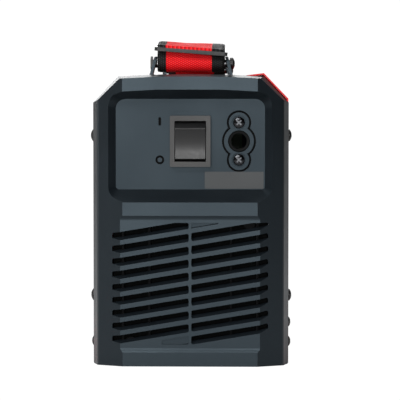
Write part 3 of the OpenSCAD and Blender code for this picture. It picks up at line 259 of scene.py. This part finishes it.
# %% [markdown]
# ## Finishes for the CAD nodes
# Each CAD node keeps its shape and gets a finish by name. The slot is the place in the record's list that
# the finish belongs to.

# %% Give every CAD node its finish
finish_of_slot = {
    "body_plastic": housing_abs, "cover_paint": red_enamel, "base_steel": base_paint,
    "foot_rubber": foot_rubber, "zinc_steel": zinc_plate, "black_steel": black_oxide,
    "switch_plastic": switch_abs, "rocker_plastic": rocker_plastic, "brass": turned_brass,
    "wire_blue": wire_plastic, "bush_rubber": bush_rubber, "label": label_film,
    "webbing": red_enamel, "slider_plastic": slider_plastic, "fan_plastic": fan_pbt,
    "copper": copper_wire, "board_green": board_mask, "capacitor_sleeve": capacitor_sleeve,
    "device_epoxy": device_epoxy, "heatsink_alu": extruded_aluminium, "ferrite": ferrite,
    "tape_yellow": polyester_tape, "relay_blue": relay_plastic, "terminal_green": terminal_nylon,
    "window_red": window_acrylic, "lamp_red": lamp_plastic, "knob_plastic": knob_abs,
}
slot_of_node = {part["node"]: part["material_slot"] for part in frame["record"]["subparts"]}
for node_name, node in nodes.items():
    node.data.materials.clear()
    node.data.materials.append(finish_of_slot[slot_of_node[node_name]])
nodes["inlet_screws"].data.materials[0] = dark_nickel
print("finishes:", len(finish_of_slot))

# %% [markdown]
# ## Soft edges
# A CAD edge is perfectly sharp, and no real moulding or bent sheet is. A rounded edge catches a thin line of
# light, which is what makes a part look solid. A copy of the node is welded together, its flat triangles
# are joined into whole faces, and the Bevel modifier rounds every edge that is sharper than a set angle.

# %% Make rounded copies of the outer parts
body_of_node = {name: body for body, names in frame["record"]["behaviour"]["bodies"].items()
                for name in names}


def soften(node_name, radius_mm, segments=2, sharp=28, places=()):
    """Replaces a CAD node with a copy whose edges are rounded. places are pairs of a finish and a test that
    says by a face's middle and normal whether the finish goes there."""
    source = nodes[node_name]
    shape = bmesh.new()
    shape.from_mesh(source.data)
    bmesh.ops.remove_doubles(shape, verts=shape.verts, dist=0.004 * MM)
    bmesh.ops.dissolve_limit(shape, angle_limit=math.radians(0.6), verts=shape.verts, edges=shape.edges)
    mesh = bpy.data.meshes.new(node_name + "_soft")
    shape.to_mesh(mesh)
    shape.free()
    piece = bpy.data.objects.new(node_name + "_soft", mesh)
    bpy.context.scene.collection.objects.link(piece)
    mesh.materials.append(source.data.materials[0])
    for number, (finish, belongs) in enumerate(places, 1):
        mesh.materials.append(finish)
        for face in mesh.polygons:
            if belongs(face.center, face.normal):
                face.material_index = number
    rounding = piece.modifiers.new("rounding", "BEVEL")
    rounding.width = radius_mm * MM
    rounding.segments = segments
    rounding.limit_method = "ANGLE"
    rounding.angle_limit = math.radians(sharp)
    rounding.use_clamp_overlap = True
    rounding.harden_normals = False
    rounding.miter_outer = "MITER_ARC"
    mesh.shade_smooth()
    flatten = piece.modifiers.new("flatten", "WEIGHTED_NORMAL")
    flatten.keep_sharp = True
    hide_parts(node_name)
    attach(piece, body_of_node[node_name])
    return piece


panel_low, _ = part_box("rear_panel")
GROOVE_D, WEDGE_D, VENT_BACK = 10.9 * MM, 1.8 * MM, 3.4 * MM
VENT_TOP = 92 * MM


def in_pocket(middle, normal):
    depth = middle.y - panel_low.y
    in_wedge = middle.z < VENT_TOP and abs(depth - WEDGE_D) < 0.1 * MM
    return normal.y < -0.9 and (in_wedge or middle.z > VENT_TOP and 7.5 * MM < depth < GROOVE_D - 0.2 * MM)


def in_groove(middle, normal):
    depth = middle.y - panel_low.y
    return normal.y < -0.9 and middle.z > VENT_TOP and abs(depth - GROOVE_D) < 0.1 * MM


def behind_slats(middle, normal):
    return normal.y < -0.9 and middle.z < VENT_TOP and VENT_BACK < middle.y - panel_low.y < 9 * MM


# The groove floors and the faces behind the slats take the painted shade.
rear_places = ((recess_abs, in_pocket), (painted_shade_abs, in_groove), (painted_shade_abs, behind_slats))
soft_edges = {
    "front_panel": 0.3, "top_cover": 0.3, "switch_housing": 0.5, "switch_rocker": 0.35,
    "rear_strap_bracket": 0.35, "front_strap_bracket": 0.35, "strap_slider": 0.7, "socket_flanges": 0.5,
    "current_knob": 0.5, "cable_bushing": 0.4, "rubber_feet": 0.6,
}
soften("rear_panel", 0.6, places=rear_places)
for node_name, radius in soft_edges.items():
    made = soften(node_name, radius)
    print("softened", made.name, len(made.data.polygons))

# %% [markdown]
# ## The shade sheet behind the vents
# Behind the vents lies a thin sheet of black foam. It is painted shade: a dark sheet that stands in for the
# shade inside the box, and it is why the slots look black although the inside is full of bright parts. A
# rectangle with a front, a back and a rim is all that it takes.

# %% Cut the foam sheet
fan_low, fan_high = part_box("fan_frame")
fan_mid_z = (fan_low.z + fan_high.z) / 2
FOAM_T = 1.4 * MM
WIDE, TALL = 46.5 * MM, 38.5 * MM
corners = [(WIDE, TALL), (-WIDE, TALL), (-WIDE, -TALL), (WIDE, -TALL)]
sheet = bmesh.new()
rims = [[sheet.verts.new((x, y, fan_mid_z + z)) for x, z in corners]
        for y in (fan_low.y - 0.2 * MM - FOAM_T, fan_low.y - 0.2 * MM)]
for rim in rims:
    sheet.faces.new(rim)
for i in range(len(corners)):
    j = (i + 1) % len(corners)
    sheet.faces.new((rims[0][i], rims[0][j], rims[1][j], rims[1][i]))
bmesh.ops.recalc_face_normals(sheet, faces=sheet.faces)
foam_mesh = bpy.data.meshes.new("shade_sheet")
sheet.to_mesh(foam_mesh)
sheet.free()
# The sheet is painted shade behind the vents.
shade_sheet = bpy.data.objects.new("shade_sheet", foam_mesh)
bpy.context.scene.collection.objects.link(shade_sheet)
foam_mesh.materials.append(shade_foam)
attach(shade_sheet, "housing")
print("foam between y mm:", round((fan_low.y - FOAM_T) / MM, 1), round(fan_low.y / MM, 1))

# %% [markdown]
# ## The carrying strap
# The strap is one band of woven webbing, red with black borders. It runs round a steel sleeve at each end,
# and at the rear it also passes through a three-bar slider. Webbing is limp along its length and stiff
# across it, so it is modelled as a ribbon: a flat oval section carried along a path of points. The path is
# in the Y and Z plane, and each point may be rolled a little, because the slider hangs tipped to one side.

# %% Places that the strap runs past
sleeve_low, sleeve_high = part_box("strap_sleeves")
slider_low, slider_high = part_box("strap_slider")
sleeve_r = (sleeve_high.z - sleeve_low.z) / 2
axis_z = (sleeve_low.z + sleeve_high.z) / 2
rear_axis = Vector((0, sleeve_low.y + sleeve_r, axis_z))
front_axis = Vector((0, sleeve_high.y - sleeve_r, axis_z))
slider_mid = (slider_low + slider_high) / 2
WEB_W = 42 * MM
WEB_T = 1.5 * MM
print("sleeve radius mm:", round(sleeve_r / MM, 2))
print("slider middle mm:", [round(c / MM, 1) for c in slider_mid])


# %% A ribbon along a path
def ribbon(name, path, width, thick, columns=22, ripple=0.0):
    """path is a list of (y, z, roll). The UV map is in metres: across the band, then along it."""
    half = width / 2
    outline = []
    for i in range(columns + 1):
        u = -half + width * i / columns
        edge = min(1.0, (half - abs(u)) / (0.9 * MM) + 0.35)
        outline.append((u, thick / 2 * edge))
    for i in range(columns, -1, -1):
        u = -half + width * i / columns
        edge = min(1.0, (half - abs(u)) / (0.9 * MM) + 0.35)
        outline.append((u, -thick / 2 * edge))
    shape = bmesh.new()
    uv_layer = shape.loops.layers.uv.new("weave")
    rings, run, runs = [], 0.0, []
    for k, (y, z, roll) in enumerate(path):
        before = path[max(k - 1, 0)]
        after = path[min(k + 1, len(path) - 1)]
        along = Vector((0, after[0] - before[0], after[1] - before[1])).normalized()
        up = Vector((0, -along.z, along.y))
        if k:
            run += math.hypot(y - before[0], z - before[1])
        runs.append(run)
        ring = []
        for u, n in outline:
            wave = ripple * math.sin(run / (11 * MM) + u / (7 * MM)) * (0.4 + abs(u) / half)
            point = Vector((u, y, z)) + up * (n + wave)
            point.z -= u * math.sin(roll)
            ring.append(shape.verts.new(point))
        rings.append(ring)
    count = len(outline)
    for k in range(len(rings) - 1):
        for i in range(count):
            j = (i + 1) % count
            face = shape.faces.new((rings[k][i], rings[k + 1][i], rings[k + 1][j], rings[k][j]))
            face.smooth = True
            for loop, (a, b) in zip(face.loops, ((k, i), (k + 1, i), (k + 1, j), (k, j))):
                loop[uv_layer].uv = (outline[b][0] + 0.5, runs[a])
    for ring, turn in ((rings[0], 1), (rings[-1], -1)):
        cap = shape.faces.new(ring[::turn])
        for loop in cap.loops:
            loop[uv_layer].uv = (loop.vert.co.x + 0.5, 0)
    bmesh.ops.recalc_face_normals(shape, faces=shape.faces)
    mesh = bpy.data.meshes.new(name)
    shape.to_mesh(mesh)
    shape.free()
    piece = bpy.data.objects.new(name, mesh)
    bpy.context.scene.collection.objects.link(piece)
    return piece


def arc(centre, radius, start, end, steps, roll=0.0):
    """Points on a circle in the Y and Z plane. Angles in degrees from +Y towards +Z."""
    points = []
    for i in range(steps + 1):
        a = math.radians(start + (end - start) * i / steps)
        points.append((centre.y + radius * math.cos(a), centre.z + radius * math.sin(a), roll))
    return points


# %% [markdown]
# ## Woven webbing
# Polyester webbing is a tight herringbone twill: rows of yarn that step sideways, first one way and then
# the other. The light and shade along each row and the small pink glints of the shiny filaments are painted
# into the colour. The pattern is worked out from the ribbon's own UV map, which is in metres, so a yarn has
# its real width wherever the band goes.

# %% Webbing material
YARN_MM = 1.25
ROW_MM = 1.15
RED_EDGE_MM = 14.2
RED_SHIFT_MM = 1.4


def webbing_material():
    material, tree, shader = new_material(
        "polyester_webbing", "#B00812", 0.6, Specular_IOR_Level=0.15, Sheen_Weight=0.02, Sheen_Roughness=0.4)
    uv = add(tree, "ShaderNodeUVMap", uv_map="weave")
    split = add(tree, "ShaderNodeSeparateXYZ", {"Vector": uv.outputs["UV"]})
    across = add(tree, "ShaderNodeMath", {0: split.outputs["X"], 1: 0.5}, operation="SUBTRACT").outputs[0]
    column = add(tree, "ShaderNodeMath", {0: across, 1: YARN_MM * 2 * MM}, operation="DIVIDE").outputs[0]
    zigzag = add(tree, "ShaderNodeMath", {0: column, 1: 0.5}, operation="PINGPONG").outputs[0]
    row = add(tree, "ShaderNodeMath", {0: split.outputs["Y"], 1: ROW_MM * MM}, operation="DIVIDE").outputs[0]
    slant = add(tree, "ShaderNodeMath", {0: zigzag, 1: 1.6, 2: row}, operation="MULTIPLY_ADD").outputs[0]
    turn = add(tree, "ShaderNodeMath", {0: slant, 1: 2 * math.pi}, operation="MULTIPLY").outputs[0]
    row_wave = add(tree, "ShaderNodeMath", {0: turn}, operation="SINE").outputs[0]
    side = add(tree, "ShaderNodeMath", {0: column, 1: 4 * math.pi}, operation="MULTIPLY").outputs[0]
    yarn_wave = add(tree, "ShaderNodeMath", {0: side}, operation="SINE").outputs[0]
    height = add(tree, "ShaderNodeMath", {0: yarn_wave, 1: 0.35, 2: row_wave},
                 operation="MULTIPLY_ADD").outputs[0]
    relief = add(tree, "ShaderNodeBump", {"Height": height, "Strength": 0.7, "Distance": 0.1 * MM})
    # Painted light and shade: the red goes from dark to bright along each twill row.
    painted_row_light = add(tree, "ShaderNodeMath", {0: row_wave, 1: 0.5, 2: 0.5}, operation="MULTIPLY_ADD").outputs[0]
    # Painted highlight: pink glints on the red and grey glints on the black, where the relief is highest.
    painted_glint = add(tree, "ShaderNodeMapRange", {"Value": height, "From Min": 0.95, "From Max": 1.35,
                                             "To Min": 0.0, "To Max": 0.75}, clamp=True).outputs[0]
    red = add(tree, "ShaderNodeMix", {MIX_FACTOR: painted_row_light, MIX_A: linear("#9C0006"), MIX_B: linear("#E8060F")},
              data_type="RGBA").outputs[MIX_OUT]
    red_with_painted_glint = add(tree, "ShaderNodeMix", {MIX_FACTOR: painted_glint, MIX_A: red, MIX_B: linear("#FF5A60")},
                data_type="RGBA").outputs[MIX_OUT]
    dark = add(tree, "ShaderNodeMix", {MIX_FACTOR: painted_glint, MIX_A: linear("#050505"), MIX_B: linear("#4A5053")},
               data_type="RGBA").outputs[MIX_OUT]
    moved = add(tree, "ShaderNodeMath", {0: across, 1: RED_SHIFT_MM * MM}, operation="ADD").outputs[0]
    off_centre = add(tree, "ShaderNodeMath", {0: moved}, operation="ABSOLUTE").outputs[0]
    border = add(tree, "ShaderNodeMath", {0: off_centre, 1: RED_EDGE_MM * MM},
                 operation="GREATER_THAN").outputs[0]
    colour = add(tree, "ShaderNodeMix", {MIX_FACTOR: border, MIX_A: red_with_painted_glint, MIX_B: dark},
                 data_type="RGBA").outputs[MIX_OUT]
    feed(tree, shader, {"Normal": relief.outputs["Normal"], "Base Color": colour})
    return material


webbing = webbing_material()

# %% [markdown]
# ## Lay the strap
# The top band ends flat on the slider and runs forward in a low hump to the front sleeve. It turns round that
# sleeve and is sewn to its own underside. A second length drops through the slider's slots and wraps the rear
# sleeve, which is the fat roll seen from behind. Real webbing is one piece; two ribbons are simpler to lay.

# %% Lay the strap's two lengths
SLIDER_ROLL = math.radians(4.5)
SLIDER_PITCH = math.radians(7)
SLIDER_TOP = 1.2 * MM + WEB_T / 2 + 0.1 * MM
ROLL_R = sleeve_r + 0.1 * MM + WEB_T / 2


def on_slider(y, z, weight=1.0):
    """A point given from the slider's middle, in metres."""
    c, s = math.cos(SLIDER_PITCH), math.sin(SLIDER_PITCH)
    return (slider_mid.y + y * c - z * s, slider_mid.z + y * s + z * c, SLIDER_ROLL * weight)


BAND_END = -13.2 * MM
LEAVES_SLIDER = 17
band_end = [on_slider(BAND_END, SLIDER_TOP)]
top_run = [on_slider(y * MM, SLIDER_TOP) for y in range(-12, LEAVES_SLIDER, 2)]
span_start = on_slider(LEAVES_SLIDER * MM, SLIDER_TOP)
span_end = (front_axis.y, front_axis.z + ROLL_R)
SPAN_RISE = 6 * MM
SPAN_STEPS = 60
span = []
for step in range(1, SPAN_STEPS):
    t = step / SPAN_STEPS
    ease = 3 * t * t - 2 * t ** 3
    y = span_start[0] + (span_end[0] - span_start[0]) * t
    z = span_start[1] + (span_end[1] - span_start[1]) * ease + SPAN_RISE * math.sin(math.pi * t) ** 2
    span.append((y, z, SLIDER_ROLL * (1 - t) ** 3))
front_turn = arc(front_axis, ROLL_R, 90, -150, 26)
TAIL_STEPS = 18
TAIL_SHARE = 0.34
TAIL_GAP = WEB_T * 1.06
FIRST_BACK = 1.5 * MM
start = front_turn[-1]
tail = []
for step in range(1, TAIL_STEPS + 1):
    t = step / TAIL_STEPS
    k = SPAN_STEPS - 1 - int(t * SPAN_STEPS * TAIL_SHARE)
    top = span[max(k - 1, 0)]
    near = min(1.0, t * 2.2)
    blend_z = start[1] + (top[1] - TAIL_GAP - start[1]) * (near * near * (3 - 2 * near))
    if step > 1:
        blend_y = start[0] + (top[0] - start[0]) * min(1.0, t * 1.02)
    else:
        blend_y = start[0] - FIRST_BACK
    tail.append((blend_y, blend_z, 0))
long_path = band_end + top_run + span + front_turn + tail
long_band = ribbon("strap_long_band", long_path, WEB_W, WEB_T, ripple=0.08 * MM)
drop = [on_slider(-5.2 * MM, 0.9 * MM), on_slider(-5.6 * MM, -0.4 * MM),
        on_slider(-6.2 * MM, -1.5 * MM, 0.9)]
wrap = arc(rear_axis, ROLL_R, 150, 470, 46)
first = wrap[0]
gap_mid = ((drop[-1][0] + first[0]) / 2 - 0.8 * MM, (drop[-1][1] + first[1]) / 2, SLIDER_ROLL * 0.5)
roll_path = drop + [gap_mid] + wrap
roll_band = ribbon("strap_rear_roll", roll_path, WEB_W, WEB_T, ripple=0.1 * MM)
flat_lengths = [sum(math.hypot(b[0] - a[0], b[1] - a[1]) for a, b in zip(path, path[1:]))
                for path in (long_path, roll_path)]
for band in (long_band, roll_band):
    band.data.materials.append(webbing)
    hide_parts("carry_strap")
    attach(band, "housing")
    low = min(v.co.z for v in band.data.vertices)
    high = max(v.co.z for v in band.data.vertices)
    print(band.name, "z mm:", round(low / MM, 1), round(high / MM, 1))
print("flat lengths mm:", [round(length / MM, 1) for length in flat_lengths], "width mm:", WEB_W / MM)

# %% [markdown]
# ## Stitches
# The strap is sewn to its own underside with bonded black thread: a box with a cross in it, near the front
# sleeve. A stitch is a short thread that dives into the webbing at both ends. Each row is a line of edges,
# and Geometry Nodes lay a stitch at every pitch along it.

# %% Rows that the stitches follow
band_top = []
for k in range(1, len(span)):
    along = Vector((0, span[k][0] - span[k - 1][0], span[k][1] - span[k - 1][1])).normalized()
    band_top.append((span[k][0] - along.z * WEB_T * 0.55, span[k][1] + along.y * WEB_T * 0.55, span[k][2]))


def on_band(x, k):
    y, z, roll = band_top[k]
    return (x, y, z - x * math.sin(roll))


SEW_X = 17 * MM
box_from, box_to = len(band_top) - 12, len(band_top) - 3
rows = [[on_band(side * SEW_X, k) for k in range(box_from, box_to + 1)] for side in (-1, 1)]
rows += [[on_band(-SEW_X, k), on_band(SEW_X, k)] for k in (box_from, box_to)]
rows += [[on_band(side * SEW_X * (1 - 2 * (k - box_from) / (box_to - box_from)), k)
          for k in range(box_from, box_to + 1)] for side in (-1, 1)]
points, edges = [], []
for row in rows:
    edges += [(len(points) + i, len(points) + i + 1) for i in range(len(row) - 1)]
    points += row
row_mesh = bpy.data.meshes.new("stitch_rows")
row_mesh.from_pydata(points, edges, [])
stitch_rows = bpy.data.objects.new("stitch_rows", row_mesh)
bpy.context.scene.collection.objects.link(stitch_rows)
print("stitch rows:", len(rows), "points:", len(points))

# %% [markdown]
# The tree turns the rows to curves, spaces points along them, puts a stretched ball on each and turns it
# along the row. Its inputs are the pitch, the length and the thickness of a stitch, in metres.

# %% Build the stitch tree
bonded_thread = polished_plastic("bonded_thread", "#141414", 0.4, wave_mm=1)
sewing = bpy.data.node_groups.new("sewing", "GeometryNodeTree")
sewing.interface.new_socket("Rows", in_out="INPUT", socket_type="NodeSocketGeometry")
stitch_sizes = {"Pitch": 3.0 * MM, "Length": 2.2 * MM, "Thickness": 0.45 * MM}
for size_name in stitch_sizes:
    sewing.interface.new_socket(size_name, in_out="INPUT", socket_type="NodeSocketFloat")
sewing.interface.new_socket("Stitches", in_out="OUTPUT", socket_type="NodeSocketGeometry")
given = add(sewing, "NodeGroupInput")
curves = add(sewing, "GeometryNodeMeshToCurve", {"Mesh": given.outputs["Rows"]})
spaced = add(sewing, "GeometryNodeResampleCurve",
             {"Curve": curves.outputs["Curve"], "Length": given.outputs["Pitch"]}, mode="LENGTH")
thread = add(sewing, "GeometryNodeMeshIcoSphere", {"Radius": 0.5, "Subdivisions": 2})
size = add(sewing, "ShaderNodeCombineXYZ",
           {"X": given.outputs["Thickness"], "Y": given.outputs["Thickness"], "Z": given.outputs["Length"]})
tangent = add(sewing, "GeometryNodeInputTangent")
turned = add(sewing, "FunctionNodeAlignRotationToVector", {"Vector": tangent.outputs["Tangent"]}, axis="Z")
laid = add(sewing, "GeometryNodeInstanceOnPoints",
           {"Points": spaced.outputs["Curve"], "Instance": thread.outputs["Mesh"],
            "Rotation": turned.outputs["Rotation"], "Scale": size.outputs["Vector"]})
real = add(sewing, "GeometryNodeRealizeInstances", {"Geometry": laid.outputs["Instances"]})
smooth = add(sewing, "GeometryNodeSetShadeSmooth", {0: real.outputs["Geometry"]})
finished = add(sewing, "GeometryNodeSetMaterial", {"Geometry": smooth.outputs[0], "Material": bonded_thread})
add(sewing, "NodeGroupOutput", {"Stitches": finished.outputs["Geometry"]})

# %% Sew and turn the result into a plain mesh
sewer = stitch_rows.modifiers.new("sewing", "NODES")
sewer.node_group = sewing
for socket in sewing.interface.items_tree:
    if socket.name in stitch_sizes and socket.in_out == "INPUT":
        sewer[socket.identifier] = stitch_sizes[socket.name]
bpy.context.view_layer.update()
graph = bpy.context.evaluated_depsgraph_get()
stitch_mesh = bpy.data.meshes.new_from_object(stitch_rows.evaluated_get(graph))
# The rows had no material, which leaves an empty first slot.
stitch_mesh.materials.pop(index=0)
strap_stitches = bpy.data.objects.new("strap_stitches", stitch_mesh)
bpy.context.scene.collection.objects.link(strap_stitches)
bpy.data.objects.remove(stitch_rows)
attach(strap_stitches, "housing")
BALL_FACES = 80
print("stitches:", len(stitch_mesh.polygons) // BALL_FACES, "materials:", list(stitch_mesh.materials),
      "used:", {face.material_index for face in stitch_mesh.polygons})

# %% [markdown]
# ## Camera
# The rear is looked at from a little above the middle and a little to the right, from far enough away that
# the sides hardly show. A long lens keeps the box's edges nearly parallel.

# %% Camera
FACE_Y = panel_low.y
LOWER_EDGE = 3.2 * MM
DISTANCE = 850 * MM
camera_data = bpy.data.cameras.new("camera")
camera = bpy.data.objects.new("camera", camera_data)
bpy.context.scene.collection.objects.link(camera)
camera.location = (21 * MM, FACE_Y - DISTANCE, LOWER_EDGE + 158 * MM)
FRAME_W = 239.6 * MM
FRAME_MID_Z = LOWER_EDGE + 100.6 * MM
AIM_Z = LOWER_EDGE + 129 * MM
aim = Vector((6.05 * MM, FACE_Y, AIM_Z))
camera.rotation_euler = (aim - camera.location).to_track_quat("-Z", "Y").to_euler()
camera_data.sensor_width = 36
camera_data.lens = 36 * (aim - camera.location).length / FRAME_W
camera_data.shift_y = (FRAME_MID_Z - AIM_Z) / FRAME_W
camera_data.clip_start, camera_data.clip_end = 0.05, 20
bpy.context.scene.camera = camera
print("lens mm:", round(camera_data.lens, 1))

# %% [markdown]
# ## Light
# Black plastic has almost no colour of its own, so it is lit by what it mirrors. A wide soft box behind the
# camera is mirrored by every face that looks straight back, and the room beside it is left dark, so facets
# that lean away fall nearly black. A second box high in front lights the webbing and the upturned steps, and
# a strip on each side draws a thin line down the rounded corners. One more, on the far side, is for the front
# panel. The floor and the backdrop are white to the camera and dim to the object, like a light table behind
# black flags, so no shadow is seen on them.

# %% Floor and world
FLOOR_HALF = 3.0
floor_mesh = bpy.data.meshes.new("floor")
floor_mesh.from_pydata([(-FLOOR_HALF, -FLOOR_HALF, 0), (FLOOR_HALF, -FLOOR_HALF, 0),
                        (FLOOR_HALF, FLOOR_HALF, 0), (-FLOOR_HALF, FLOOR_HALF, 0)], [], [(0, 1, 2, 3)])
floor = bpy.data.objects.new("floor", floor_mesh)
bpy.context.scene.collection.objects.link(floor)
floor_paint, floor_tree, floor_shader = new_material("floor_paint", "#D8D8D8", 0.9)
seen = add(floor_tree, "ShaderNodeLightPath")
glow = add(floor_tree, "ShaderNodeEmission", {"Color": (1, 1, 1, 1), "Strength": 1.05})
either = add(floor_tree, "ShaderNodeMixShader", {0: seen.outputs["Is Camera Ray"],
                                                 1: floor_shader.outputs[0], 2: glow.outputs[0]})
feed(floor_tree, floor_tree.nodes["Material Output"], {"Surface": either.outputs[0]})
floor_mesh.materials.append(floor_paint)

world = bpy.data.worlds.new("studio")
bpy.context.scene.world = world
world.use_nodes = True
world_tree = world.node_tree
world_tree.nodes.clear()
seen = add(world_tree, "ShaderNodeLightPath")
white = add(world_tree, "ShaderNodeBackground", {"Color": (1, 1, 1, 1), "Strength": 1.05})
room = add(world_tree, "ShaderNodeBackground", {"Color": (1, 1, 1, 1), "Strength": 0.03})
mixed = add(world_tree, "ShaderNodeMixShader", {0: seen.outputs["Is Camera Ray"],
                                                1: room.outputs[0], 2: white.outputs[0]})
add(world_tree, "ShaderNodeOutputWorld", {"Surface": mixed.outputs[0]})


# %% Soft boxes
def soft_box(name, place_m, aim_m, width, height, watts):
    data = bpy.data.lights.new(name, "AREA")
    data.shape = "RECTANGLE"
    data.size, data.size_y = width, height
    data.energy = watts
    lamp = bpy.data.objects.new(name, data)
    bpy.context.scene.collection.objects.link(lamp)
    lamp.location = place_m
    lamp.rotation_euler = (Vector(aim_m) - Vector(place_m)).to_track_quat("-Z", "Y").to_euler()


middle = Vector((0, -0.12, 0.1))
soft_box("sheen", (-0.12, -1.9, 0.24), middle, 0.9, 0.9, 23)
soft_box("key", (-0.35, -1.1, 1.25), middle, 0.9, 0.6, 16)
soft_box("edge", (-0.8, -1.0, 0.95), middle, 0.22, 0.22, 5)
soft_box("top", (0, 0.4, 1.6), (0, 0.1, 0), 1.4, 1.2, 16)
soft_box("left strip", (-1.4, 0.12, 0.35), middle, 0.3, 1.2, 5)
soft_box("right strip", (0.75, 1.3, 0.3), middle, 0.2, 1.2, 0.6)
soft_box("far side", (-0.3, 2.0, 0.45), middle, 1.0, 0.9, 14)
bpy.context.scene.view_settings.view_transform = "Standard"
bpy.context.scene.view_settings.look = "None"
